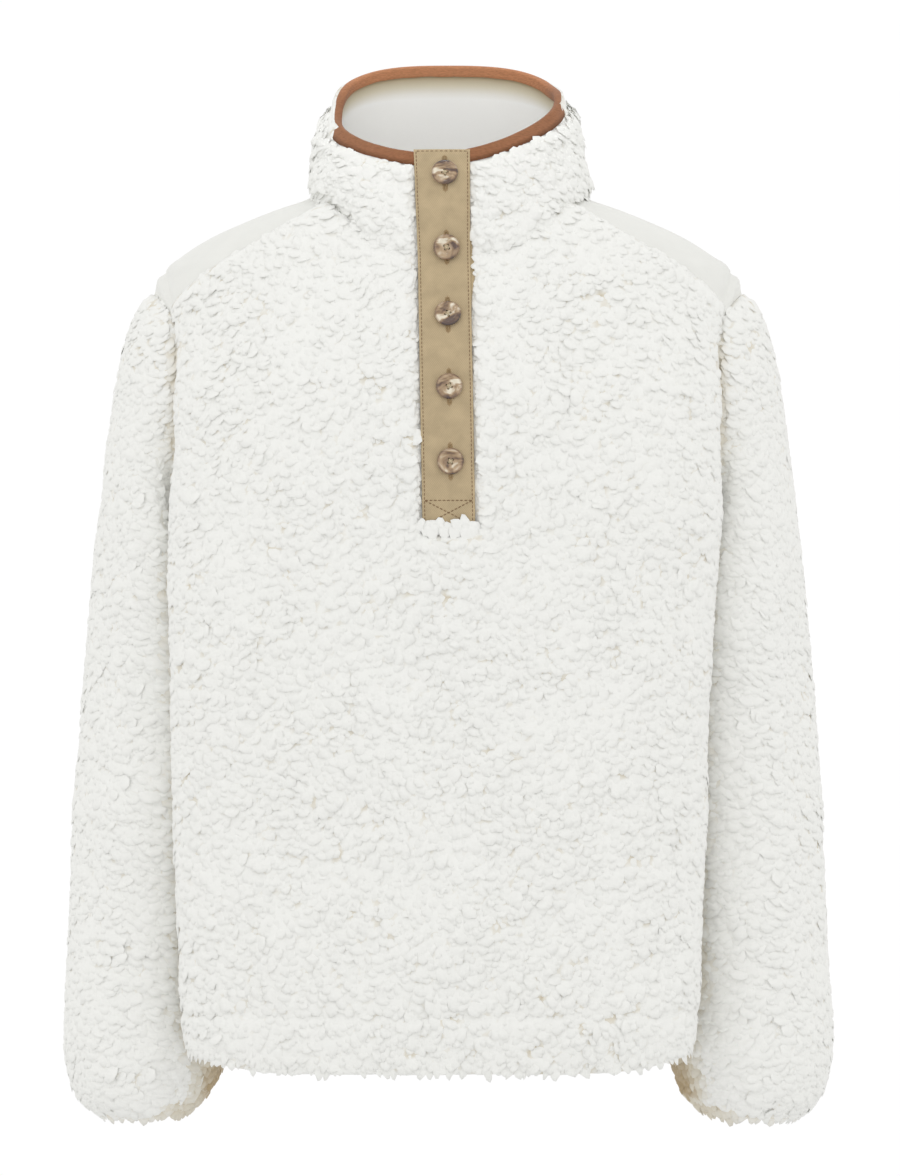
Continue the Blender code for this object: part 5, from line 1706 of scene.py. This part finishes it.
def make_buttonholes(material):
    """Worked edges round each slit: short satin threads side by side, seen above and below the button."""
    lines = []
    for height in BUTTON_HEIGHTS:
        for step in np.arange(-BUTTONHOLE_REACH, BUTTONHOLE_REACH + 0.01, SATIN_STEP):
            if abs(step) < 7.5:
                continue
            outer_end = abs(step) > 11.2
            for aside in ((-1, 1) if not outer_end else (0,)):
                middle = BUTTON_OFF_CENTRE + aside * 0.95
                reach = 0.75 if not outer_end else 1.5
                across = np.array([middle - reach, middle, middle + reach])
                face, out = placket_outer(across, np.full(3, height + step))
                lines.append(face + out * np.array([0.0, 0.42, 0.0])[:, None])
        for end in (-12.9, 12.9):
            across = np.full(3, BUTTON_OFF_CENTRE)
            face, out = placket_outer(across, height + end + np.array([-0.9, 0, 0.9]) * np.sign(end))
            lines.append(face + out * np.array([0.1, 0.35, -0.1])[:, None])
    return thread_mesh("buttonhole_stitching", lines, STITCH_RADIUS, material, sides=5)


# Properties and operators


def colour_setting(name, description, code):
    kind = bpy.props.FloatVectorProperty
    return kind(name=name, description=description, default=srgb(code), size=3, subtype="COLOR")


def number_setting(name, description, default, least=0.0, unit="NONE"):
    kind = bpy.props.FloatProperty
    return kind(name=name, description=description, default=default, min=least, unit=unit)


def length_setting(name, description, default, least=0.0):
    return number_setting(name, description, default, least, "LENGTH")


class PulloverFleece(bpy.types.PropertyGroup):
    """The curled pile."""

    lock: length_setting("Lock width", "Width of one curled lock of pile", LOCK_WIDTH * MM, 3 * MM)
    relief: length_setting("Relief", "Height of a lock over the crease beside it", 2.4 * MM)
    lean: length_setting("Lean", "How far a lock's tip hangs below its root", 1.8 * MM)
    colour: colour_setting("Pile colour", "Colour of the pile", "#f2f2ee")


class PulloverTrim(bpy.types.PropertyGroup):
    """Woven cloth, tape, thread and buttons."""

    woven: colour_setting("Yoke colour", "Colour of the smooth shoulders", "#ebebe6")
    facing: colour_setting("Facing colour", "Colour inside the collar", "#fbfbf8")
    twill: colour_setting("Placket colour", "Colour of the twill placket", "#cbb692")
    tape: colour_setting("Binding colour", "Colour of the collar's tape", "#b9805b")
    thread: colour_setting("Thread colour", "Colour of the placket's thread", "#7f6444")
    horn: colour_setting("Horn colour", "Middle tone of the buttons", "#8a6c4a")


class PulloverStudio(bpy.types.PropertyGroup):
    """Camera, floor and lights."""

    distance: length_setting("Camera distance", "Distance from the camera to the pullover", 4.5, 1.0)
    pixel: length_setting("Pixel size", "Size of one pixel of the photograph at the pullover", 0.74 * MM)
    floor: length_setting("Floor height", "Height of the floor, below the shoulders", -1.38, -10.0)
    daylight: number_setting("Dome light", "Brightness of the even light", 1.01)
    key: number_setting("Key light", "Power of the light from above", 2.5, unit="POWER")
    neck: number_setting("Neck light", "Power of the light into the collar", 0.015, unit="POWER")


def sherpa(context):
    """The pile's material, made once."""
    return bpy.data.materials.get(SHERPA) or sherpa_material(context.scene.pullover_fleece)


class PULLOVER_OT_panels(bpy.types.Operator):
    """Makes the front and back panels in sherpa fleece"""

    bl_idname = "pullover.panels"
    bl_label = "Front and back"

    def execute(self, context):
        fleece = context.scene.pullover_fleece
        material = sherpa(context)
        for face in ("front", "back"):
            obj, tufts = make_panel(face, material, fleece)
            dress(obj, "sherpa_fleece", f"{face}_body")
            dress(tufts, "sherpa_fleece")
        return {"FINISHED"}


class PULLOVER_OT_sleeves(bpy.types.Operator):
    """Makes the sleeves and their smooth heads"""

    bl_idname = "pullover.sleeves"
    bl_label = "Sleeves"

    def execute(self, context):
        fleece, trim = context.scene.pullover_fleece, context.scene.pullover_trim
        material = sherpa(context)
        woven = woven_material("white_cotton_sleeve_head", trim.woven, 0.7 * MM)
        for word, side in SIDES.items():
            obj, tufts = make_sleeve(f"sleeve_{word}", side, material, fleece)
            dress(obj, "sherpa_fleece", f"sleeve_{word}")
            dress(tufts, "sherpa_fleece")
            head = make_sleeve_head(f"sleeve_head_{word}", side, woven)
            dress(head, "white_woven_cloth", f"sleeve_head_{word}")
        return {"FINISHED"}


class PULLOVER_OT_yokes(bpy.types.Operator):
    """Makes the smooth woven shoulder pieces"""

    bl_idname = "pullover.yokes"
    bl_label = "Shoulders"

    def execute(self, context):
        woven = woven_material("white_cotton_plain_weave", context.scene.pullover_trim.woven, 0.7 * MM)
        for word, side in SIDES.items():
            obj = make_yoke(f"yoke_{word}", side, woven)
            dress(obj, "white_woven_cloth", f"yoke_{word}")
        return {"FINISHED"}


class PULLOVER_OT_collar(bpy.types.Operator):
    """Makes the stand collar, its facing and its binding"""

    bl_idname = "pullover.collar"
    bl_label = "Collar"

    def execute(self, context):
        fleece, trim = context.scene.pullover_fleece, context.scene.pullover_trim
        material = sherpa(context)
        obj, tufts = make_collar(material, fleece)
        dress(obj, "sherpa_fleece", "collar")
        dress(tufts, "sherpa_fleece")
        facing = make_facing(facing_material(trim.facing))
        dress(facing, "white_woven_cloth", "collar_facing")
        binding = make_binding(tape_material(trim.tape))
        dress(binding, "brown_binding_tape", "collar_binding")
        return {"FINISHED"}


class PULLOVER_OT_placket(bpy.types.Operator):
    """Makes the two layers of the placket and their stitching"""

    bl_idname = "pullover.placket"
    bl_label = "Placket"

    def execute(self, context):
        trim = context.scene.pullover_trim
        twill = twill_material(trim.twill)
        thread = thread_material("brown_spun_thread", trim.thread)
        upper, under = make_placket(twill), make_under_placket(twill)
        dress(upper, "khaki_twill", "placket")
        dress(under, "khaki_twill", "placket_under")
        stitches = make_placket_stitches(thread)
        holes = make_buttonholes(thread_material("buttonhole_spun_thread", srgb("#a88e68")))
        dress(stitches, "khaki_twill")
        dress(holes, "khaki_twill")
        dress(make_foot_curls(sherpa(context)), "sherpa_fleece")
        return {"FINISHED"}


class PULLOVER_OT_buttons(bpy.types.Operator):
    """Makes the five horn buttons and their thread"""

    bl_idname = "pullover.buttons"
    bl_label = "Buttons"

    def execute(self, context):
        trim = context.scene.pullover_trim
        horn = horn_material(trim)
        for number, height in enumerate(BUTTON_HEIGHTS, 1):
            dress(make_button(number, height, horn), "mottled_horn", f"button_{number}")
        dress(make_button_threads(thread_material("button_thread_spun", srgb("#cdbd9c"))), "khaki_twill")
        return {"FINISHED"}


def add_light(name, place, aim, size, power):
    data = bpy.data.lights.new(name, "AREA")
    data.shape = "RECTANGLE"
    data.size, data.size_y = size
    data.energy = power
    obj = add_object(name, data)
    obj.location = place
    obj.rotation_euler = (Vector(aim) - Vector(place)).to_track_quat("-Z", "Y").to_euler()
    return obj


class PULLOVER_OT_studio(bpy.types.Operator):
    """Makes the pale studio, its soft light and the camera"""

    bl_idname = "pullover.studio"
    bl_label = "Studio"

    PHOTO_SIZE = (900, 1176)
    ORIGIN_PIXEL = (448, 205)
    SENSOR = 36
    FLOOR_RADII = (0.5, 1.5, 3.0, 5.0)

    def execute(self, context):
        studio = context.scene.pullover_studio
        wide, high = self.PHOTO_SIZE
        middle_x = (wide / 2 - self.ORIGIN_PIXEL[0]) * studio.pixel
        middle_z = (self.ORIGIN_PIXEL[1] - high / 2) * studio.pixel
        data = bpy.data.cameras.new("camera")
        data.sensor_width = self.SENSOR
        data.lens = self.SENSOR * studio.distance / (high * studio.pixel)
        data.clip_end = 60
        camera = add_object("camera", data)
        camera.location = (middle_x, -studio.distance, middle_z)
        camera.rotation_euler = (math.pi / 2, 0, 0)
        context.scene.camera = camera
        self.floor(studio)
        add_light("key_softbox", (-0.8, -2.6, 1.1), (0, 0, -0.25), (1.4, 1.1), studio.key)
        add_light("fill_softbox", (0.5, -3.2, 0.35), (0, 0, -0.2), (1.6, 1.2), studio.key * 0.5)
        neck = add_light("neck_light", (0, -0.55, 1.1), (0, 0.068, 0.0), (0.15, 0.15), studio.neck)
        neck.data.spread = math.radians(15)
        world = bpy.data.worlds.new("studio_dome")
        world.use_nodes = True
        shade = world.node_tree.nodes["Background"]
        shade.inputs["Color"].default_value = (1, 1, 1, 1)
        shade.inputs["Strength"].default_value = studio.daylight
        context.scene.world = world
        context.scene.view_settings.view_transform = "Standard"
        return {"FINISHED"}

    def floor(self, studio):
        """A round floor of pale painted board, which throws soft light on the undersides."""
        made, tree, shader, place = new_material("pale_painted_board", 0.9)
        cloud = noise(tree, place, Scale=3, Detail=2)
        link_surface(tree, shader, ramp(tree, cloud, [(0.2, srgb("#eaeaea")), (0.8, srgb("#efefef"))]))
        turn = np.radians(np.arange(0, 360, 3.75))
        x, y, z = np.cos(turn), np.sin(turn), np.full(len(turn), studio.floor)
        rings = [np.stack([radius * x, radius * y, z], -1) for radius in self.FLOOR_RADII]
        index = np.arange(len(rings) * len(turn)).reshape(len(rings), -1)
        faces = grid_faces(index, wrap=True) + [index[0, ::-1].tolist()]
        board = add_mesh("studio_floor", np.concatenate(rings) / MM, faces, made, closed=False, soft_edge=0)


OPERATORS = (
    PULLOVER_OT_panels,
    PULLOVER_OT_sleeves,
    PULLOVER_OT_yokes,
    PULLOVER_OT_collar,
    PULLOVER_OT_placket,
    PULLOVER_OT_buttons,
    PULLOVER_OT_studio,
)


class PULLOVER_PT_sidebar(bpy.types.Panel):
    """Lists the pullover's pieces and settings"""

    bl_idname = "PULLOVER_PT_sidebar"
    bl_label = "Sherpa pullover"
    bl_space_type = "VIEW_3D"
    bl_region_type = "UI"
    bl_category = "Pullover"

    def draw(self, context):
        for group in ("pullover_fleece", "pullover_trim", "pullover_studio"):
            settings = getattr(context.scene, group)
            box = self.layout.box()
            for name in settings.__annotations__:
                box.prop(settings, name)
        for operator in OPERATORS:
            self.layout.operator(operator.bl_idname)


CLASSES = (PulloverFleece, PulloverTrim, PulloverStudio, *OPERATORS, PULLOVER_PT_sidebar)


def register():
    for item in CLASSES:
        bpy.utils.register_class(item)
    bpy.types.Scene.pullover_fleece = bpy.props.PointerProperty(type=PulloverFleece)
    bpy.types.Scene.pullover_trim = bpy.props.PointerProperty(type=PulloverTrim)
    bpy.types.Scene.pullover_studio = bpy.props.PointerProperty(type=PulloverStudio)


def unregister():
    for name in ("pullover_fleece", "pullover_trim", "pullover_studio"):
        delattr(bpy.types.Scene, name)
    for item in reversed(CLASSES):
        bpy.utils.unregister_class(item)


def main():
    register()
    bpy.ops.pullover.panels()
    bpy.ops.pullover.sleeves()
    bpy.ops.pullover.yokes()
    bpy.ops.pullover.collar()
    bpy.ops.pullover.placket()
    bpy.ops.pullover.buttons()
    bpy.ops.pullover.studio()


if __name__ == "__main__":
    main()
